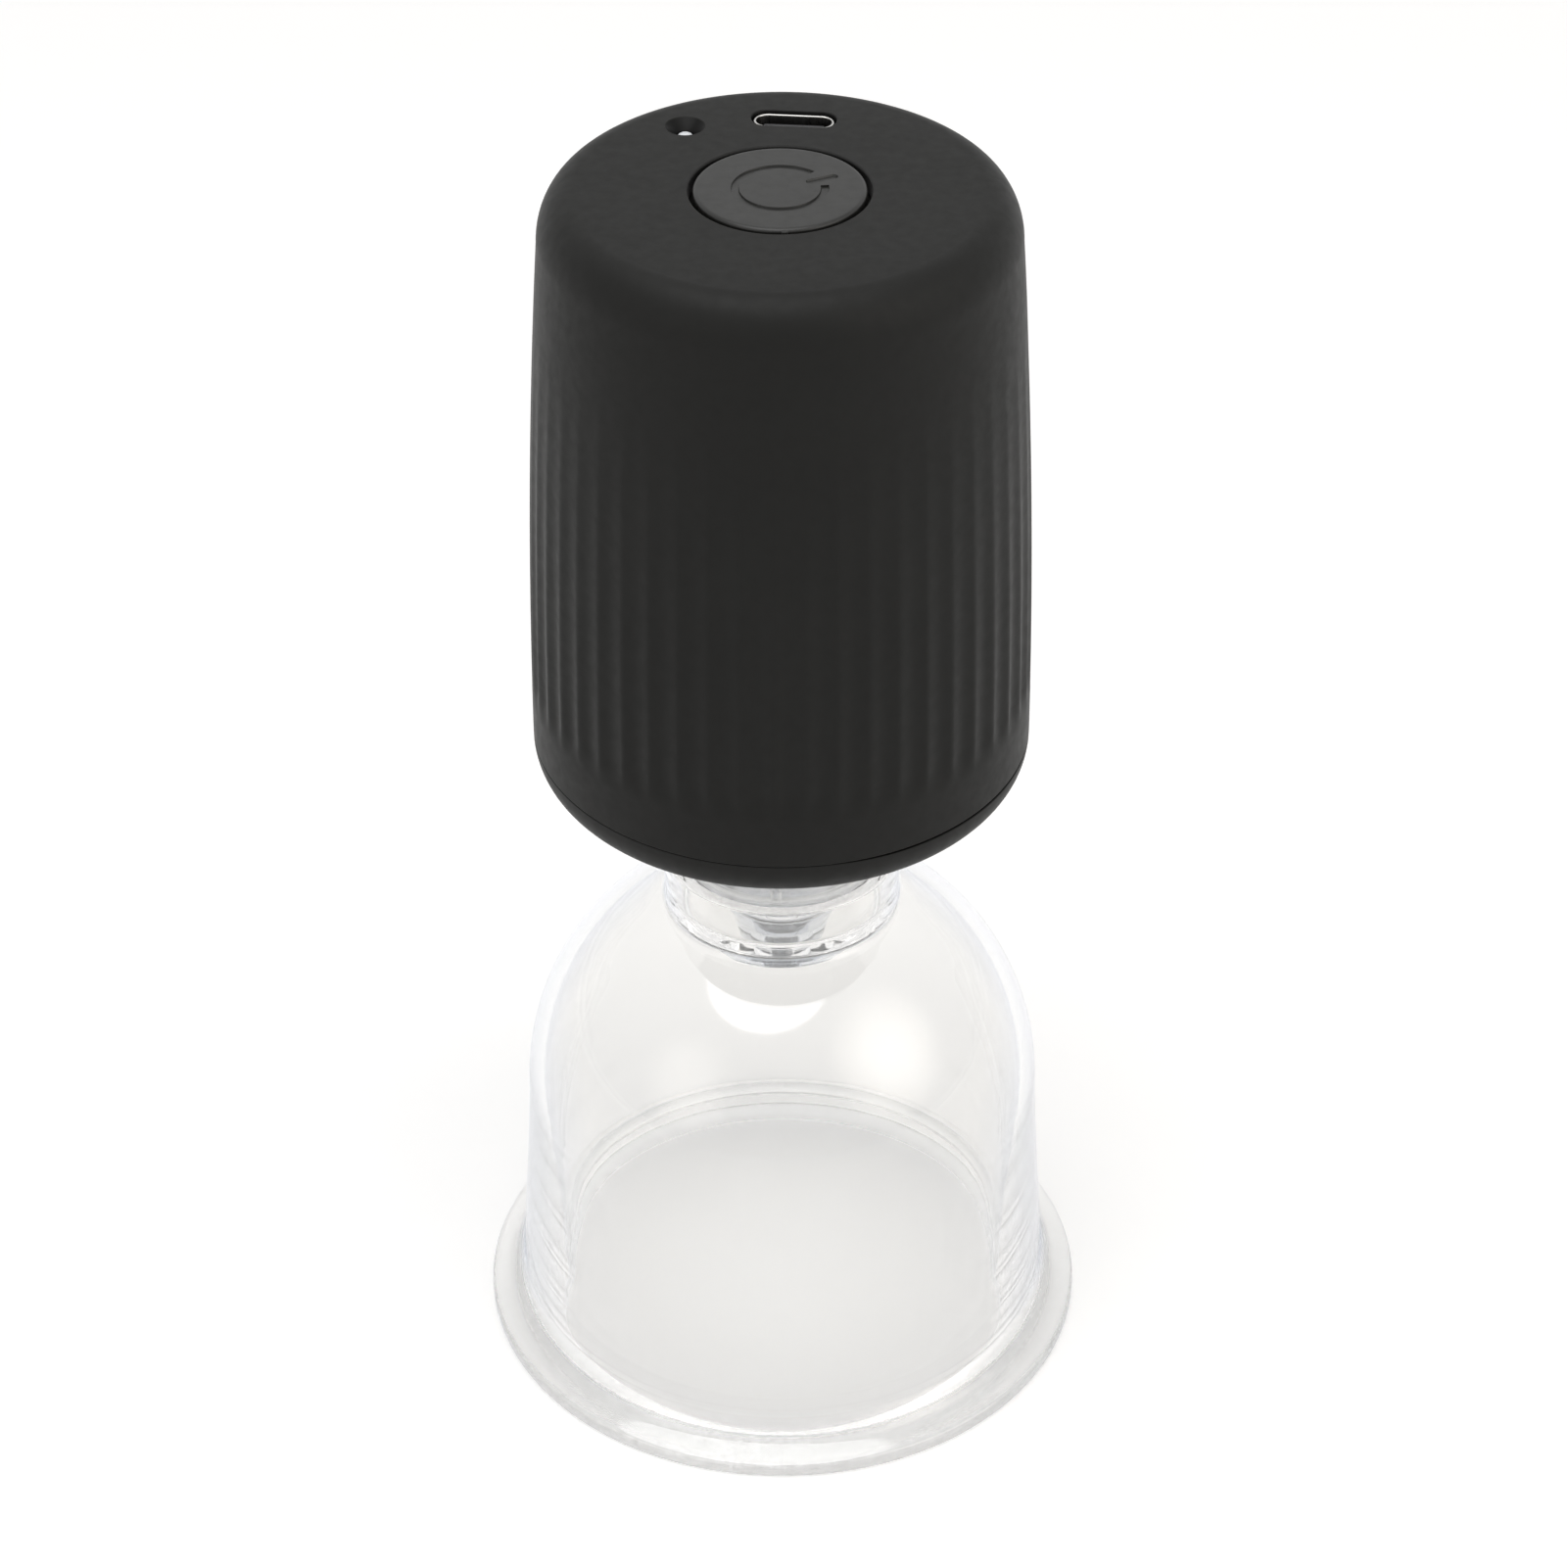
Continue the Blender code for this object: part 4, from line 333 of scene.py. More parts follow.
def put(piece, place, azimuth=0.0):
    """Turns a piece about its own axis and moves it to a place in plan, in millimetres."""
    make_active(piece)
    piece.rotation_euler.z = azimuth
    piece.location.x, piece.location.y = place[0] * MM, place[1] * MM
    apply_place()
    return piece


def copied(piece, name):
    """A copy of a piece with a mesh of its own."""
    make_active(piece)
    bpy.ops.object.duplicate(linked=False)
    return named(name)


def combine(piece, other, operation):
    """Joins another piece to this one or cuts it away, and removes it."""
    make_active(piece)
    bpy.ops.object.modifier_add(type="BOOLEAN")
    modifier = piece.modifiers[-1]
    modifier.solver, modifier.operation, modifier.object = "EXACT", operation, other
    bpy.ops.object.modifier_apply(modifier=modifier.name)
    bpy.data.objects.remove(other)


def press_in(piece, name, weight_at, depth, direction="NORMAL"):
    """Presses a surface in by up to the depth, by the weight found at each of its points."""
    group = piece.vertex_groups.new(name=name)
    for vertex in piece.data.vertices:
        weight = weight_at(vertex.co)
        if weight > 0:
            group.add([vertex.index], weight, "REPLACE")
    make_active(piece)
    bpy.ops.object.modifier_add(type="DISPLACE")
    modifier = piece.modifiers[-1]
    modifier.direction, modifier.mid_level, modifier.strength = direction, 0, -depth
    modifier.vertex_group = group.name
    bpy.ops.object.modifier_apply(modifier=modifier.name)
    piece.vertex_groups.clear()


def finish_piece(piece, body, finish, stands_for=(), smooth=32):
    """Gives a piece its smooth shading, finish and body, and hides what it stands for."""
    make_active(piece)
    if body not in ("cup", "cup_valve"):
        piece.matrix_world = HEAD_TURN @ piece.matrix_world
    apply_place()
    bpy.ops.object.shade_smooth_by_angle(angle=math.radians(smooth))
    if not piece.data.materials:
        piece.data.materials.append(finish)
    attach(piece, body)
    if stands_for:
        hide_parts(*stands_for)


# Finishes


def add_node(tree, kind, inputs, **settings):
    """Adds a node to a tree, and links or sets its inputs."""
    node = tree.nodes.new("ShaderNode" + kind)
    for setting, value in settings.items():
        setattr(node, setting, value)
    for socket, value in inputs.items():
        if isinstance(value, bpy.types.NodeSocket):
            tree.links.new(value, node.inputs[socket])
        else:
            node.inputs[socket].default_value = value
    return node


def soft_step(tree, value, start, end, first=0, last=1):
    """Goes smoothly from the first to the last value while another value goes from start to end."""
    inputs = {"Value": value, "From Min": start, "From Max": end, "To Min": first, "To Max": last}
    return add_node(tree, "MapRange", inputs, interpolation_type="SMOOTHSTEP").outputs["Result"]


class Finish:
    """One material: a Principled shader with patterns for its colour, roughness and relief."""

    def __init__(self, name, **sockets):
        self.material = bpy.data.materials.new(name)
        self.material.use_nodes = True
        self.tree = self.material.node_tree
        self.shader = self.tree.nodes["Principled BSDF"]
        for socket, value in sockets.items():
            self.shader.inputs[socket.replace("_", " ")].default_value = value
        self.place = self.add("TexCoord", {}).outputs["Object"]
        self.normal = None

    def add(self, kind, inputs, **settings):
        """Adds a node to the material."""
        return add_node(self.tree, kind, inputs, **settings)

    def stretched(self, scale, turn=(0, 0, 0), centre=(0, 0, 0)):
        """The piece's own place, moved, turned and stretched."""
        inputs = {"Vector": self.place, "Scale": scale, "Rotation": turn, "Location": centre}
        return self.add("Mapping", inputs, vector_type="TEXTURE").outputs["Vector"]

    def noise(self, scale, detail=3.0, place=None):
        """A cloudy pattern of so many waves a metre."""
        inputs = {"Vector": place or self.place, "Scale": scale, "Detail": detail}
        return self.add("TexNoise", inputs).outputs["Fac"]

    def cells(self, scale, place=None, feature="F1"):
        """A pattern of cells."""
        inputs = {"Vector": place or self.place, "Scale": scale}
        return self.add("TexVoronoi", inputs, feature=feature).outputs["Distance"]

    def bands(self, scale, direction="Z", distortion=0.0, place=None):
        """A pattern of even bands."""
        inputs = {"Vector": place or self.place, "Scale": scale, "Distortion": distortion}
        return self.add("TexWave", inputs, bands_direction=direction).outputs["Fac"]

    def colour(self, pattern, first, second, start=0.35, end=0.65):
        """Colours the surface from one colour to another by a pattern."""
        ramp = self.add("ValToRGB", {"Fac": pattern})
        stops = zip(ramp.color_ramp.elements, (start, end), (first, second))
        for element, position, value in stops:
            element.position, element.color = position, (*value, 1)
        self.tree.links.new(ramp.outputs["Color"], self.shader.inputs["Base Color"])

    def roughness(self, pattern, low, high):
        """Varies the roughness by a pattern."""
        inputs = {"Value": pattern, "From Min": 0.3, "From Max": 0.7, "To Min": low, "To Max": high}
        result = self.add("MapRange", inputs).outputs["Result"]
        self.tree.links.new(result, self.shader.inputs["Roughness"])

    def relief(self, pattern, depth, strength=1.0):
        """Raises the surface by a pattern, to a depth in millimetres."""
        inputs = {"Height": pattern, "Distance": depth * MM, "Strength": strength}
        if self.normal:
            inputs["Normal"] = self.normal
        self.normal = self.add("Bump", inputs).outputs["Normal"]
        self.tree.links.new(self.normal, self.shader.inputs["Normal"])


def shade(value, share):
    """A colour made lighter or darker by a share."""
    return tuple(min(channel * share, 1) for channel in value)


def clear_plastic(colours):
    """Clear polycarbonate, with the faint flow and scuffs of a moulding."""
    finish = Finish("clear plastic", Transmission_Weight=1.0, IOR=1.585)
    # Painted shade: the tint darkens to bluish grey where the surface is seen edge-on
    edge = finish.add("LayerWeight", {"Blend": 0.35}).outputs["Facing"]
    finish.colour(edge, colours.plastic, colours.plastic_edge_shade, 0.45, 0.95)
    finish.roughness(finish.noise(420, 5), 0.004, 0.022)
    finish.relief(finish.noise(55, 1), 0.05, 0.35)
    return finish.material


def chamber_plastic_painted_shade(colours):
    """The same plastic in the walls of the valve chamber, tinted greyer: painted shade for the
    greyer look of its thick walls.
    """
    finish = Finish("chamber plastic, painted shade", Transmission_Weight=1.0, IOR=1.585)
    finish.colour(finish.noise(300), shade(colours.plastic_chamber_shade, 0.97), colours.plastic_chamber_shade)
    finish.roughness(finish.noise(420, 5), 0.01, 0.03)
    finish.relief(finish.noise(90, 2), 0.03, 0.35)
    return finish.material


def ground_plastic(colours):
    """The same plastic on the foot of the rim, which is ground flat and a little dull."""
    finish = Finish("ground plastic", Transmission_Weight=1.0, IOR=1.585)
    finish.colour(finish.noise(900), shade(colours.plastic, 0.98), colours.plastic)
    finish.roughness(finish.noise(2500, 5), 0.45, 0.65)
    finish.relief(finish.noise(5000, 4), 0.01, 0.6)
    return finish.material


def milky_silicone(colours):
    """Translucent silicone with a fine matt skin."""
    finish = Finish("milky silicone", Transmission_Weight=0.75, IOR=1.41)
    finish.colour(finish.noise(300), shade(colours.silicone, 0.97), colours.silicone)
    finish.roughness(finish.noise(800), 0.16, 0.24)
    finish.relief(finish.noise(3000, 2), 0.002, 0.3)
    return finish.material


def soft_black(colours):
    """Soft-touch black with a very fine grain and paler rubbed places."""
    finish = Finish(
        "soft touch black", Specular_IOR_Level=0.17, Sheen_Weight=0.045, Sheen_Roughness=0.3
    )
    finish.colour(finish.noise(120, 6), colours.head, colours.head_worn, 0.35, 0.75)
    finish.roughness(finish.noise(700, 5), 0.50, 0.58)
    finish.relief(finish.noise(9000, 2), 0.006, 0.5)
    finish.relief(finish.noise(900, 2), 0.006, 0.4)
    return finish.material


def painted_recess_shade(colours):
    """The same black, darkened deep in the socket's slot and the light's funnel: painted shade for
    the shadow in these recesses.
    """
    finish = Finish("recess black, painted shade", Specular_IOR_Level=0.12)
    # Painted shade: the head's black darkened to a fifth to a third of itself
    finish.colour(finish.noise(300, 3), shade(colours.head, 0.2), shade(colours.head, 0.35))
    finish.roughness(finish.noise(700, 4), 0.38, 0.5)
    finish.relief(finish.noise(2500, 2), 0.004, 0.4)
    return finish.material


def button_plastic(colours):
    """Smoother, slightly paler plastic of the button."""
    finish = Finish("button plastic", Specular_IOR_Level=0.34)
    finish.colour(finish.noise(300, 5), colours.button, shade(colours.button, 1.25), 0.4, 0.75)
    finish.roughness(finish.noise(700, 4), 0.30, 0.42)
    finish.relief(finish.noise(5000, 2), 0.004, 0.5)
    return finish.material


def light_guide(colours):
    """White, slightly glowing tip of the status light."""
    finish = Finish("light guide", IOR=1.49, Transmission_Weight=0.15)
    finish.colour(finish.noise(2500), shade(colours.light, 0.94), colours.light)
    finish.roughness(finish.noise(4000), 0.18, 0.30)
    finish.relief(finish.noise(8000), 0.003, 0.4)
    return finish.material


def drawn_metal(name, value, roughness, stretch=(1, 1, 60)):
    """Metal with fine marks along one way."""
    finish = Finish(name, Metallic=1.0)
    marks = finish.noise(9000, 3, finish.stretched(stretch))
    finish.colour(finish.noise(400), shade(value, 0.86), value)
    finish.roughness(marks, roughness * 0.75, roughness * 1.3)
    finish.relief(marks, 0.004, 0.4)
    return finish.material


def moulded(name, value, rough, grain=3500, spread=0.85, relief=0.01):
    """Moulded plastic or rubber with a fine grain."""
    finish = Finish(name)
    finish.colour(finish.noise(150, 4), shade(value, spread), value)
    finish.roughness(finish.noise(500, 4), rough * 0.85, rough * 1.15)
    finish.relief(finish.noise(grain, 3), relief, 0.5)
    return finish.material


def wound_wire():
    """Enamelled copper wire in close turns."""
    finish = Finish("enamelled wire", Metallic=0.8, Coat_Weight=0.4)
    turns = finish.bands(1250, "Z", 0.6)
    finish.colour(turns, (0.16, 0.045, 0.015), (0.56, 0.20, 0.07), 0.1, 0.6)
    finish.roughness(turns, 0.42, 0.24)
    finish.relief(turns, 0.12, 0.8)
    return finish.material


def laminated_steel():
    """Stacked steel sheets, their cut edges showing."""
    finish = Finish("laminated steel", Metallic=1.0)
    sheets = finish.bands(1000, "Z")
    finish.colour(sheets, (0.12, 0.12, 0.13), (0.36, 0.35, 0.34), 0.05, 0.4)
    finish.roughness(finish.noise(1200), 0.35, 0.55)
    finish.relief(sheets, 0.06, 0.6)
    return finish.material


def ferrite():
    """Sintered magnet with dark grains."""
    finish = Finish("ferrite")
    grains = finish.cells(5200)
    finish.colour(grains, (0.020, 0.020, 0.022), (0.060, 0.058, 0.058), 0.2, 0.8)
    finish.roughness(grains, 0.55, 0.75)
    finish.relief(grains, 0.02, 0.6)
    return finish.material


def circuit_board():
    """Green solder mask over copper tracks and pads."""
    finish = Finish("circuit board", Coat_Weight=0.25)
    tracks = finish.bands(330, "DIAGONAL", 9.0)
    finish.colour(tracks, (0.010, 0.085, 0.030), (0.022, 0.145, 0.052), 0.42, 0.52)
    finish.roughness(tracks, 0.30, 0.42)
    finish.relief(tracks, 0.03, 0.7)
    return finish.material


def shrink_film():
    """Plain blue shrink film, with its fine creases."""
    finish = Finish("shrink film", Coat_Weight=0.3)
    creases = finish.noise(500, 4, finish.stretched((1, 1, 5)))
    finish.colour(creases, (0.018, 0.075, 0.20), (0.035, 0.125, 0.32))
    finish.roughness(creases, 0.26, 0.40)
    finish.relief(creases, 0.05, 0.5)
    return finish.material


def closed_foam():
    """Grey foam with small closed cells."""
    finish = Finish("closed foam")
    cells = finish.cells(3200)
    finish.colour(cells, (0.10, 0.10, 0.10), (0.22, 0.22, 0.215), 0.15, 0.7)
    finish.roughness(cells, 0.85, 0.95)
    finish.relief(cells, 0.12, 0.8)
    return finish.material


# Pieces of the cup


def bell_profile():
    """The bell from its collar down the outside to the rim, and back up through the chamber."""
    side = [
        (31.25, 33.2), (31.45, 28.5), (31.7, 24.0), (32.0, 19.0), (32.25, 15.5), (32.45, 12.0),
        (32.6, 9.0), (32.75, 6.6), (33.0, 5.2), (33.5, 4.1), (34.3, 3.1), (35.6, 2.35),
        (36.4, 2.0), (36.8, 1.75), (36.97, 1.4),
    ]
    outside, inside, floor = 31.25, 29.4, 31.4
    wall = [(inside + 0.2 * (1 - row / 8), 0.75 + 32.45 * row / 8) for row in range(9)]
    return softened(
        [
            (14.0, 68.4, 0.3),
            *arc((15.6, 62.21), (1.6, 1.6), (180, 241.7), 10),
            *arc(DOME, (outside, outside), (60.5, 3), 26),
            *flowing(side, 3),
            *arc((36.5, 0.5), (0.5, 0.5), (0, -90), 5),
            (29.6, 0, 0.35),
            *wall,
            *arc(DOME, (inside, inside), (3, 74), 30),
            (6.45, 61.88, 1.1),
            (5.0, 54.7, 0.45),
            (1.95, 54.7, 0.15),
            (1.95, 57.5, 0.1),
            (3.45, 57.5, 0.4),
            (4.8, 64.35, 0.3),
            *arc(DOME, (floor, floor), (79, 69), 6),
            (12.4, 62.3, 0.8),
            (12.5, 68.4, 0.3),
        ]
    )


class MASSAGER_OT_cup_bell(Operator):
    """Clear bell with its rim, collar, well and valve chamber"""

    bl_idname = "massager.cup_bell"
    bl_label = "Cup Bell"

    def execute(self, context):
        bell = turned("cup_bell", bell_profile(), 160)
        for finish in (clear_plastic, ground_plastic, chamber_plastic_painted_shade):
            bell.data.materials.append(finish(context.scene.massager_colours))
        for face in bell.data.polygons:
            spot = face.center / MM
            on_foot = face.normal.z < -0.98 and spot.z < 0.1
            # Faces of the valve chamber take the greyer plastic, painted shade; the flat foot takes
            # the ground plastic
            in_chamber_shade = spot.xy.length < 6.5 and spot.z < 64
            face.material_index = 2 if in_chamber_shade else int(on_foot)
        finish_piece(bell, "cup", None, ["cup_shell"])
        return {"FINISHED"}


class MASSAGER_OT_cup_valve(Operator):
    """Soft plug in the chamber's floor, and the thin pin that pulls it up"""

    bl_idname = "massager.cup_valve"
    bl_label = "Cup Valve"

    def execute(self, context):
        colours = context.scene.massager_colours
        plug = [
            (1.0, 59.3, 0.1), (3.05, 59.3, 0.35), (3.05, 57.8, 0.2), (1.75, 57.8, 0.1),
            (1.75, 54.9, 0.2), (1.0, 54.9, 0.1),
        ]
        piece = turned("valve_plug", softened(plug), 72)
        silicone = milky_silicone(colours)
        finish_piece(piece, "cup_valve", silicone, ["valve_seal"])
        pin = [
            (0.0, 67.0), (0.45, 67.0), *arc((0.45, 66.65), (0.35, 0.35), (90, 0), 5),
            (0.8, 61.6), (0.8, 60.5), (0.9, 60.25), (1.22, 60.2), (1.3, 60.12), (1.3, 59.68),
            (1.22, 59.6), (0.85, 59.6), (0.8, 59.5), (0.8, 54.7), (0.85, 54.62), (1.22, 54.6),
            (1.3, 54.52), (1.3, 54.28), (1.22, 54.2), (0.0, 54.2),
        ]
        piece = turned("valve_pull_pin", pin, 48)
        clear = bpy.data.materials["clear plastic"]
        finish_piece(piece, "cup_valve", clear, ["valve_pin"])
        return {"FINISHED"}


# Pieces of the head


def side_radius(level):
    """Radius of the head's side at a level, before its flutes."""
    share = min(max((SHOULDER - level) / (SHOULDER - HEEL), 0), 1)
    at_shoulder, taper, swell = 26.352, 2.48, 2.2
    return at_shoulder + taper * share + swell * share * (1 - share)


def eased(share):
    """A smooth step from 0 to 1."""
    share = min(max(share, 0), 1)
    return share * share * (3 - 2 * share)


def flute_weight(sizes):
    """How far each point of the side is pressed in, as a share of the full flute depth."""
    pitch = math.tau / sizes.flute_count
    inner_wall = 25.5 * MM

    def weight_at(point):
        if not sizes.flute_foot < point.z < sizes.flute_head or point.xy.length < inner_wall:
            return 0
        across = math.atan2(point.y, point.x) / pitch % 1 - 0.5
        rise = point.z - sizes.flute_foot
        run_out = 1 - rise / (sizes.flute_head - sizes.flute_foot)
        return run_out * eased(rise / sizes.flute_ramp) * math.cos(math.pi * across) ** 1.4

    return weight_at


class MASSAGER_OT_head_shell(Operator):
    """Head's fluted side and top, with the button's hole, the slot and the light's funnel"""

    bl_idname = "massager.head_shell"
    bl_label = "Head Shell"

    def execute(self, context):
        sizes = context.scene.massager_sizes
        foot = [91.8 + 0.3 * row for row in range(16)]
        levels = [87.2, 88.5, 90.2, *foot, 97.2, 98.5, 100.5, 102.5, 105, 108, 111, 114, 117, 120]
        levels += [123, 126, 129, 132, 134.5, 137, 139, 141, 143, 145, 147.5]
        rows = [(side_radius(level), level) for level in levels]
        wall = 2
        inner = [(side_radius(level) - wall, level) for level in (SHOULDER, 140, 128, 116, 104, 94)]
        seam = SEAM / MM
        profile = softened(
            [
                (side_radius(seam), seam, 0.12),
                *rows,
                *arc((22.25, SHOULDER), (4.1, 5.7), (0, 90), 18),
                (17.0, 155.5),
                (9.9, 155.5, 0.25),
                (9.9, 153.5, 0.2),
                (22.25, 153.5),
                *arc((22.25, SHOULDER), (2.1, 3.7), (80, 10), 6),
                *inner,
                (side_radius(seam) - wall, seam, 0.15),
            ]
        )
        shell = turned("head_shell", profile, 12 * sizes.flute_count)
        press_in(shell, "flutes", flute_weight(sizes), sizes.flute_depth)
        slot = [
            (9.4, 3.62, 152.5), (9.4, 3.62, 155.3), (9.5, 3.72, 155.42), (9.72, 3.94, 155.5),
            (9.9, 4.1, 156),
        ]
        cutter = slot_solid("socket_slot", slot, 64)
        combine(shell, put(cutter, SOCKET), "DIFFERENCE")
        funnel = [
            (0.0, 156.2), (2.3, 156.2), (2.3, 155.54), (2.18, 155.42), (2.0, 155.28), (1.6, 154.95),
            (1.15, 154.6), (0.98, 154.4), (0.95, 154.2), (0.95, 152.5), (0.0, 152.5),
        ]
        combine(shell, put(turned("light_funnel", funnel, 48), LIGHT), "DIFFERENCE")
        for finish in (soft_black, painted_recess_shade):
            shell.data.materials.append(finish(context.scene.massager_colours))
        # Faces deep in the slot and the funnel take the darker black, painted shade for these
        # recesses
        for face in shell.data.polygons:
            spot = face.center / MM
            in_funnel = (spot.xy - Vector(LIGHT)).length < 2.4
            in_slot = abs(spot.x) < 5.1 and abs(spot.y - SOCKET[1]) < 2.2
            below_edge = 152.3 < spot.z < 155.44
            face.material_index = int((in_funnel or in_slot) and below_edge)
        finish_piece(shell, "head", None, ["outer_shell"], 30)
        return {"FINISHED"}


# Where the base cap's screws stand in plan, in millimetres
BASE_SCREWS = [polar(20.6, azimuth) for azimuth in (120, 240, 315)]


class MASSAGER_OT_head_base(Operator):
    """Base cap with its lip and screw recesses"""

    bl_idname = "massager.head_base"
    bl_label = "Base Cap"

    def execute(self, context):
        sizes = context.scene.massager_sizes
        rim, bottom = SEAM / MM - 0.3, HEAD_BOTTOM / MM
        profile = softened(
            [
                (25.3, 89.7, 0.2),
                (26.3, 89.7, 0.2),
                (26.3, rim, 0.1),
                (side_radius(rim), rim, 0.12),
                *arc((23.552, HEEL), (5.28, 5.28), (-5, -88), 16),
                (17.0, bottom),
                (11.0, bottom, 0.3),
                (11.0, 82.7, 0.2),
                (23.3, 82.7, 1.8),
                (25.3, 84.7, 0.5),
            ]
        )
        cap = turned("head_base", profile, 192)
        open_side, lip = math.radians(-38), 26.2 * MM

        def weight_at(point):
            """The seam is open for 18 degrees to either side, and closes over the next 22."""
            if abs(point.z - rim * MM) > 0.4 * MM or point.xy.length < lip:
                return 0
            away = abs((math.atan2(point.y, point.x) - open_side + math.pi) % math.tau - math.pi)
            return 0.15 + 0.85 * eased((math.degrees(away) - 18) / 22)

        press_in(cap, "seam", weight_at, -sizes.seam_lift, "Z")
        boss = [(0.0, 89.7), (3.0, 89.7), (3.2, 89.5), (3.2, 82.0), (0.0, 82.0)]
        recess = [
            (0.0, 90.5), (1.1, 90.5), (1.1, 83.1), (2.05, 83.1), (2.2, 82.95), (2.2, 80.95),
            (2.25, 80.82), (2.4, 80.7), (2.55, 80.0), (0.0, 80.0),
        ]
        for operation, name, shape in (("UNION", "boss", boss), ("DIFFERENCE", "recess", recess)):
            tool = turned(name, shape, 48)
            for place in BASE_SCREWS:
                combine(cap, put(copied(tool, name), place), operation)
            bpy.data.objects.remove(tool)
        finish = bpy.data.materials["soft touch black"]
        finish_piece(cap, "head", finish, ["base_cap"], 34)
        return {"FINISHED"}


class MASSAGER_OT_base_screws(Operator):
    """Three cross-recessed screws that hold the base cap"""

    bl_idname = "massager.base_screws"
    bl_label = "Base Screws"

    def execute(self, context):
        thread = []
        for turn in range(20):
            thread += [(0.62, 84.2 + 0.5 * turn), (0.8, 84.4 + 0.5 * turn)]
        profile = [
            (0.0, 81.4), (1.1, 81.42), (1.6, 81.6), (1.85, 81.9), (1.9, 82.2), (1.9, 82.7),
            (1.8, 82.8), (0.8, 82.8), (0.75, 83.0), *thread, (0.45, 94.5), (0.0, 94.8),
        ]
        screw = turned("base_screw_first", profile, 40)
        for azimuth in (0, math.pi / 2):
            cutter = bar("cross", (2.1, 0.42, 1.6), (0, 0, 81.5))
            combine(screw, put(cutter, (0, 0), azimuth), "DIFFERENCE")
        metal = drawn_metal("screw steel", context.scene.massager_colours.metal, 0.28, (1, 1, 8))
        for number, place in enumerate(BASE_SCREWS, 1):
            copy = put(copied(screw, f"cover_screw_{number}"), place, 0.5 * number)
            finish_piece(copy, "head", metal, [f"base_screw_{number}"])
        bpy.data.objects.remove(screw)
        return {"FINISHED"}


class MASSAGER_OT_suction_nozzle(Operator):
    """Soft nozzle under the head that reaches down into the cup's collar"""

    bl_idname = "massager.suction_nozzle"
    bl_label = "Suction Nozzle"

    def execute(self, context):
        profile = softened(
            [
                (2.0, 84.6, 0.15),
                (14.0, 84.6, 0.3),
                (14.0, 83.0, 0.3),
                (10.7, 83.0, 0.4),
                *flowing([(10.7, 80.2), (10.65, 79.2), (10.2, 77.6), (9.6, 76.0), (9.5, 74.8)], 4),
                *flowing([(9.5, 73.6), (9.6, 72.2), (10.3, 70.8), (11.2, 69.6)], 4),
                (11.6, 69.0, 0.3),
                (11.6, 66.7, 0.35),
                (10.45, 66.7, 0.15),
                *arc((2.0, 66.7), (8.3, 2.2), (10, 84), 14),
                (2.0, 68.9, 0.3),
            ]
        )
        nozzle = turned("suction_nozzle", profile, 144)
        tab = slot_solid("pull_tab", [(1.5, 0.9, 68.0), (1.5, 0.9, 69.7), (1.3, 0.7, 69.9)], 24)
        combine(tab, bar("tab_gap", (0.62, 2.0, 1.5), (0, 0, 69.55)), "DIFFERENCE")
        combine(nozzle, put(tab, (0.4, -11.35)), "UNION")
        finish = bpy.data.materials["milky silicone"]
        finish_piece(nozzle, "head", finish, ["docking_nozzle"])
        return {"FINISHED"}


def symbol_ring(sizes, top):
    """Cutter for the symbol's open ring: a stroke with sloped sides, spun round the axis."""
    depth, stroke, radius = sizes.symbol_depth, sizes.symbol_stroke, sizes.symbol_radius
    clear_selection()
    bpy.ops.mesh.primitive_plane_add(
        size=1, location=(radius, 0, top), rotation=(math.pi / 2, 0, 0)
    )
    cutter = bpy.context.object
    cutter.scale = (stroke, 2 * depth, 1)
    apply_place()
    bpy.ops.object.mode_set(mode="EDIT")
    bpy.ops.mesh.select_mode(type="VERT")
    select_where(cutter, lambda point: point.z < top)
    bpy.ops.transform.resize(value=(0.72, 1, 1), center_override=(radius, 0, top))
    bpy.ops.mesh.select_all(action="SELECT")
    bpy.ops.mesh.spin(
        steps=90, angle=math.radians(360 - SYMBOL_GAP), center=(0, 0, 0), axis=(0, 0, 1)
    )
    close_up()
    return cutter


class MASSAGER_OT_power_button(Operator):
    """Push button with its engraved on/off symbol"""

    bl_idname = "massager.power_button"
    bl_label = "Power Button"

    def execute(self, context):
        sizes = context.scene.massager_sizes
        top = HEAD_TOP + 0.17 * MM
        face = top / MM
        profile = [
            (0.0, face), (8.4, face), (8.7, face),
            *arc((8.95, face - 0.45), (0.45, 0.45), (90, 0), 8),
            (9.4, 154.9), (9.4, 153.4), (9.45, 153.25), (9.6, 153.2), (10.8, 153.2),
            (10.95, 153.05), (10.95, 152.3), (10.85, 152.2), (8.3, 152.2), (8.2, 152.3),
            (8.2, 154.0), (8.0, 154.17), (2.2, 154.17), (2.0, 154.0), (2.0, 151.95),
            (1.9, 151.9), (0.0, 151.9),
        ]
        button = turned("button_cap", profile, 128)
        gap_middle = math.radians(31.4)
        start = gap_middle - math.radians(SYMBOL_GAP / 2)
        ring = put(symbol_ring(sizes, top), (0, 0), start)
        combine(button, ring, "DIFFERENCE")
        stroke = slot_solid(
            "symbol_stroke",
            [(3.5, 1.05 * 0.8, face - 0.2), (3.7, 1.05, face), (3.9, 1.25, face + 0.2)],
            32,
        )
        azimuth = 29.4
        stroke = put(stroke, polar(4.95, azimuth), math.radians(azimuth))
        combine(button, stroke, "DIFFERENCE")
        nib = bar("nib", (0.6, 0.7, 0.8), (0, 0, face - 0.52))
        azimuth = -81.6
        combine(button, put(nib, polar(9.4, azimuth), math.radians(azimuth)), "UNION")
        finish = button_plastic(context.scene.massager_colours)
        finish_piece(button, "button", finish, ["power_button"], 30)
        return {"FINISHED"}


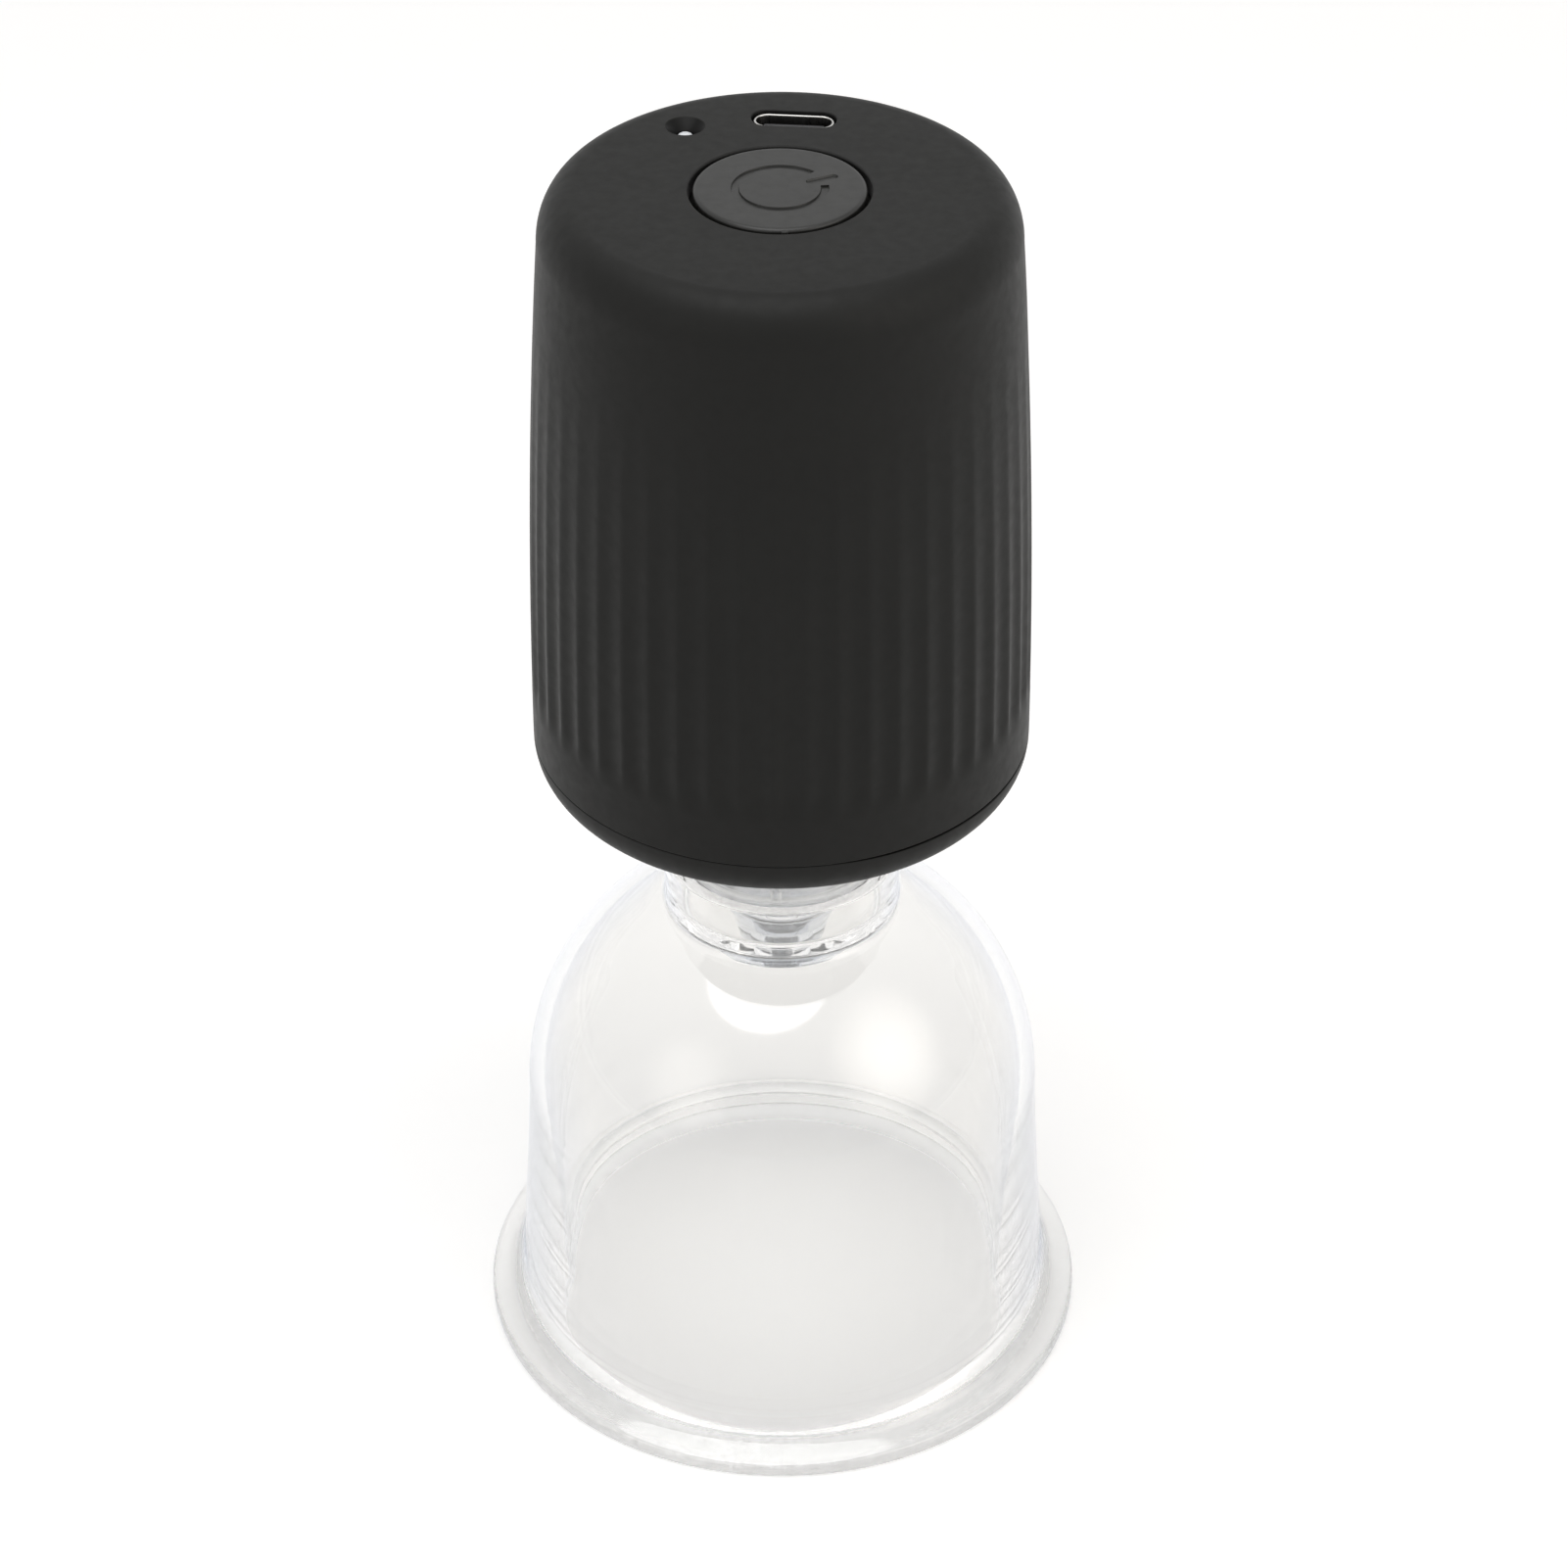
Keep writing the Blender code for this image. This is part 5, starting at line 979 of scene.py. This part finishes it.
class MASSAGER_OT_charging_socket(Operator):
    """Charging socket: drawn metal shell, and the tongue with its gold contacts"""

    bl_idname = "massager.charging_socket"
    bl_label = "Charging Socket"

    def execute(self, context):
        colours = context.scene.massager_colours
        outer = [
            (8.94, 3.16, 147.5), (8.94, 3.16, 155.05), (8.86, 3.08, 155.16), (8.7, 2.92, 155.2),
        ]
        shell = slot_solid("socket_shell", outer, 72)
        inner = [
            (8.34, 2.56, 147.0), (8.34, 2.56, 155.05), (8.42, 2.64, 155.16), (8.7, 2.92, 155.25),
        ]
        combine(shell, slot_solid("socket_mouth", inner, 72), "DIFFERENCE")
        shell.data.materials.append(drawn_metal("socket steel", colours.metal, 0.20, (1, 1, 30)))
        # Painted shade: the steel deep in the socket's mouth is darkened to 8 per cent of its
        # colour
        painted_shade_steel = shade(colours.metal, 0.08)
        shell.data.materials.append(drawn_metal("socket steel inside, painted shade", painted_shade_steel, 0.34, (1, 1, 30)))
        for face in shell.data.polygons:
            spot = face.center / MM
            in_mouth = abs(spot.x) < 4.3 and abs(spot.y) < 1.4 and spot.z < 155.0
            face.material_index = int(in_mouth)
        finish_piece(put(shell, SOCKET), "head", None, ["usb_shell"])
        block = [(7.92, 2.1, 147.5), (7.92, 2.1, 149.9), (7.8, 2.0, 150.0)]
        tongue = slot_solid("socket_tongue", block, 48)
        combine(tongue, bar("blade", (6.69, 0.7, 6.0), (0, 0, 151.6)), "UNION")
        plastic = moulded("socket plastic", (0.022, 0.022, 0.024), 0.4)
        finish_piece(put(tongue, SOCKET), "head", plastic, ["usb_tongue"])
        gold = drawn_metal("contact gold", (0.83, 0.60, 0.25), 0.22)
        contact = bar("contact", (0.26, 0.06, 3.4), (-2.75, 0.36, 152.2))
        pitch, rows_apart, in_row = 0.5, 0.72, 12
        for number in range(2 * in_row):
            copy = copied(contact, f"contact_{number + 1}")
            row, place = divmod(number, in_row)
            put(copy, (SOCKET[0] + pitch * place, SOCKET[1] - rows_apart * row))
            finish_piece(copy, "head", gold)
        bpy.data.objects.remove(contact)
        return {"FINISHED"}


class MASSAGER_OT_status_light(Operator):
    """White rod whose tip shows in the small hole"""

    bl_idname = "massager.status_light"
    bl_label = "Status Light"

    def execute(self, context):
        profile = [
            (0.0, 154.6), *arc((0.0, 154.3), (0.8, 0.3), (80, 0), 7), (0.8, 153.3), (0.85, 153.2),
            (1.5, 153.2), (1.6, 153.1), (1.6, 152.3), (1.5, 152.2), (0.85, 152.2), (0.8, 152.1),
            (0.8, 149.0), (0.7, 148.9), (0.0, 148.9),
        ]
        tip = put(turned("light_tip", profile, 40), LIGHT)
        finish = light_guide(context.scene.massager_colours)
        finish_piece(tip, "head", finish, ["light_pipe"])
        return {"FINISHED"}


class MASSAGER_OT_inner_finishes(Operator):
    """Finishes of the pieces inside the head"""

    bl_idname = "massager.inner_finishes"
    bl_label = "Inner Finishes"

    def execute(self, context):
        bright = drawn_metal("ground steel", (0.58, 0.57, 0.55), 0.25)
        plated = drawn_metal("plated can", (0.48, 0.48, 0.47), 0.34, (1, 1, 12))
        copper = drawn_metal("bar copper", (0.66, 0.30, 0.17), 0.28, (1, 1, 6))
        bronze = drawn_metal("sintered bronze", (0.50, 0.33, 0.14), 0.46, (1, 1, 1))
        wire = wound_wire()
        magnet = ferrite()
        frame_black = moulded("frame plastic", (0.055, 0.056, 0.060), 0.5)
        pump_white = moulded("pump plastic", (0.62, 0.61, 0.57), 0.42)
        hinge_plastic = moulded("hinge plastic", (0.48, 0.47, 0.43), 0.36)
        rubber = moulded("black rubber", (0.030, 0.030, 0.031), 0.75, 1800, 0.7, 0.03)
        tubing = moulded("tube silicone", (0.55, 0.56, 0.56), 0.35, 2500)
        chip = moulded("chip resin", (0.025, 0.025, 0.027), 0.55, 7000)
        lens = moulded("led resin", (0.82, 0.80, 0.62), 0.25, 5000, 0.95)
        finishes = {
            bright: ["motor_shaft", "crank_pin", "board_screw_1", "board_screw_2"],
            plated: ["motor_can", "release_valve_can", "release_plunger"],
            copper: ["commutator", "brush_left", "brush_right"],
            bronze: ["front_bush", "rear_bush"],
            wire: ["winding_1", "winding_2", "winding_3", "release_coil"],
            magnet: ["magnet_front", "magnet_back"],
            laminated_steel(): ["armature_core"],
            frame_black: ["inner_frame", "motor_end_cap"],
            pump_white: ["pump_cover", "valve_plate", "pump_case", "air_manifold"],
            hinge_plastic: ["wobble_plate", "eccentric", "release_valve_cap"],
            rubber: ["motor_sleeve", "diaphragm"],
            tubing: ["pump_tube", "valve_tube", "sensor_tube"],
            circuit_board(): ["main_board"],
            chip: ["tact_switch", "switch_plunger", "pressure_sensor"],
            lens: ["indicator_led"],
            shrink_film(): ["battery_cell"],
            closed_foam(): ["battery_pad"],
        }
        finishes[bright] += [f"pump_screw_{number}" for number in (1, 2, 3)]
        for finish, names in finishes.items():
            for name in names:
                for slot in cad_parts[name].material_slots:
                    slot.material = finish
        return {"FINISHED"}


# Floor, lamps and camera


def softbox(name, size, place, target, level, tone=(1, 1, 1), edge=0.15):
    """A round lamp of a given brightness, whose face fades over a share of it at its edge."""
    clear_selection()
    bpy.ops.object.light_add(type="AREA", location=place)
    lamp = named(name)
    lamp.data.shape = "DISK"
    lamp.data.size = size
    area = size * size * math.pi / 4
    lamp.data.energy = level * area * math.pi
    lamp.data.color = tone
    lamp.data.use_nodes = True
    tree = lamp.data.node_tree
    place_on_face = add_node(tree, "NewGeometry", {}).outputs["Parametric"]
    inputs = {0: place_on_face, 1: (0.5, 0.5, 0)}
    off_centre = add_node(tree, "VectorMath", inputs, operation="DISTANCE").outputs["Value"]
    fade = soft_step(tree, off_centre, 0.5, 0.5 - edge / 2)
    emission = next(node for node in tree.nodes if node.type == "EMISSION")
    tree.links.new(fade, emission.inputs["Strength"])
    lamp.rotation_euler = (Vector(target) - Vector(place)).to_track_quat("-Z", "Y").to_euler()


def seen_share(tree):
    """1 for what the camera sees, straight or in gloss or glass, and 0 otherwise."""
    rays = add_node(tree, "LightPath", {}).outputs
    total = rays["Is Camera Ray"]
    for name in ("Is Glossy Ray", "Is Transmission Ray"):
        inputs = {0: total, 1: rays[name]}
        node = add_node(tree, "Math", inputs, operation="ADD", use_clamp=True)
        total = node.outputs["Value"]
    return total


def light_room(studio):
    """A room that is white where it is seen and lights the pieces more softly."""
    world = bpy.context.scene.world or bpy.data.worlds.new("studio room")
    bpy.context.scene.world = world
    world.use_nodes = True
    tree = world.node_tree
    background = next(node for node in tree.nodes if node.type == "BACKGROUND")
    background.inputs["Color"].default_value = (1, 1, 1, 1)
    strength = add_node(tree, "MapRange", {"Value": seen_share(tree), "To Min": studio.sky})
    tree.links.new(strength.outputs["Result"], background.inputs["Strength"])


def lay_floor(studio):
    """A pale floor that keeps the object's shadow and glows a little where it is seen."""
    clear_selection()
    bpy.ops.mesh.primitive_circle_add(
        vertices=96, radius=2.5, fill_type="NGON", location=(0, 0, -0.00005)
    )
    floor = named("studio_floor")
    apply_place()
    material = bpy.data.materials.new("studio floor")
    material.use_nodes = True
    tree = material.node_tree
    shader = tree.nodes["Principled BSDF"]
    shader.inputs["Base Color"].default_value = (*studio.floor, 1)
    shader.inputs["Roughness"].default_value = 0.9
    shader.inputs["Specular IOR Level"].default_value = 0.1
    shader.inputs["Emission Color"].default_value = (1, 1, 1, 1)

    def measure(kind, operation, *values):
        """What a node for sums or vectors makes of its inputs."""
        node = add_node(tree, kind, dict(enumerate(values)), operation=operation)
        return node.outputs["Value"]

    place = add_node(tree, "NewGeometry", {}).outputs["Position"]
    radius = measure("VectorMath", "DISTANCE", place)
    # Painted light: a ring of glow on the floor under the clear rim, for the light that the rim
    # gathers there
    rim_middle = 33.3 * MM
    off_rim = measure("Math", "SUBTRACT", radius, rim_middle)
    either_way = measure("Math", "ABSOLUTE", off_rim)
    brightest = studio.floor_glow + studio.painted_rim_glow
    painted_rim_light = soft_step(tree, either_way, 3.3 * MM, 3.8 * MM, brightest, studio.floor_glow)
    # Far from the lamps the floor glows more, so that it stays white there
    far_off = soft_step(tree, radius, 0.25, 1.8, 0, 0.5)
    brightness_there = measure("Math", "ADD", painted_rim_light, far_off)
    glow = add_node(tree, "MapRange", {"Value": seen_share(tree), "To Max": brightness_there})
    tree.links.new(glow.outputs["Result"], shader.inputs["Emission Strength"])
    floor.data.materials.append(material)


def set_camera():
    """The camera, at the photograph's place and angle."""
    bpy.ops.object.camera_add(location=(0, -0.4117, 0.3737))
    camera = bpy.context.object
    tilt = Matrix.Rotation(math.radians(54.22), 3, "X")
    roll = Matrix.Rotation(math.radians(-0.147), 3, "Z")
    camera.rotation_euler = (tilt @ roll).to_euler()
    camera.data.lens = 98.96
    camera.data.sensor_width = 36
    camera.data.shift_x = 0.0016
    bpy.context.scene.camera = camera


class MASSAGER_OT_studio(Operator):
    """Floor, softboxes, room light and camera"""

    bl_idname = "massager.studio"
    bl_label = "Studio"

    def execute(self, context):
        studio = context.scene.massager_studio
        lay_floor(studio)
        light_room(studio)
        softbox("overhead_softbox", 1.0, (-0.10, -0.15, 1.0), (0, -0.05, 0), studio.overhead)
        middle = (0, 0, 0.06)
        warm = (1, 0.95, 0.88)
        softbox("right_softbox", 1.2, (0.70, -0.40, 0.50), middle, studio.right, warm, 0.95)
        softbox("left_softbox", 0.9, (-0.62, -0.57, 0.38), middle, studio.left, warm, 0.95)
        set_camera()
        context.scene.view_settings.view_transform = "Standard"
        # Light turns many times inside the clear wall before it leaves it
        cycles = context.scene.cycles
        cycles.max_bounces = cycles.glossy_bounces = cycles.transmission_bounces = 32
        return {"FINISHED"}


OPERATORS = (
    MASSAGER_OT_cup_bell,
    MASSAGER_OT_cup_valve,
    MASSAGER_OT_head_shell,
    MASSAGER_OT_head_base,
    MASSAGER_OT_base_screws,
    MASSAGER_OT_suction_nozzle,
    MASSAGER_OT_power_button,
    MASSAGER_OT_charging_socket,
    MASSAGER_OT_status_light,
    MASSAGER_OT_inner_finishes,
    MASSAGER_OT_studio,
)


class MASSAGER_PT_pieces(Panel):
    """Lists the pieces, the sizes and the colours"""

    bl_idname = "MASSAGER_PT_pieces"
    bl_label = "Cupping Massager"
    bl_space_type = "VIEW_3D"
    bl_region_type = "UI"
    bl_category = "Massager"

    def draw(self, context):
        layout = self.layout
        for operator in OPERATORS:
            layout.operator(operator.bl_idname)
        for group in ("massager_sizes", "massager_colours", "massager_studio"):
            settings = getattr(context.scene, group)
            box = layout.box()
            for name in settings.__annotations__:
                box.prop(settings, name)


CLASSES = (MassagerSizes, MassagerColours, MassagerStudio, *OPERATORS, MASSAGER_PT_pieces)


def register():
    """Registers the add-on's classes and its settings."""
    for item in CLASSES:
        bpy.utils.register_class(item)
    bpy.types.Scene.massager_sizes = PointerProperty(type=MassagerSizes)
    bpy.types.Scene.massager_colours = PointerProperty(type=MassagerColours)
    bpy.types.Scene.massager_studio = PointerProperty(type=MassagerStudio)


def unregister():
    """Removes the settings and the classes again."""
    del bpy.types.Scene.massager_studio
    del bpy.types.Scene.massager_colours
    del bpy.types.Scene.massager_sizes
    for item in reversed(CLASSES):
        bpy.utils.unregister_class(item)


def main():
    """Makes every piece and the studio."""
    register()
    for operator in OPERATORS:
        group, name = operator.bl_idname.split(".")
        getattr(getattr(bpy.ops, group), name)()


if __name__ == "__main__":
    main()
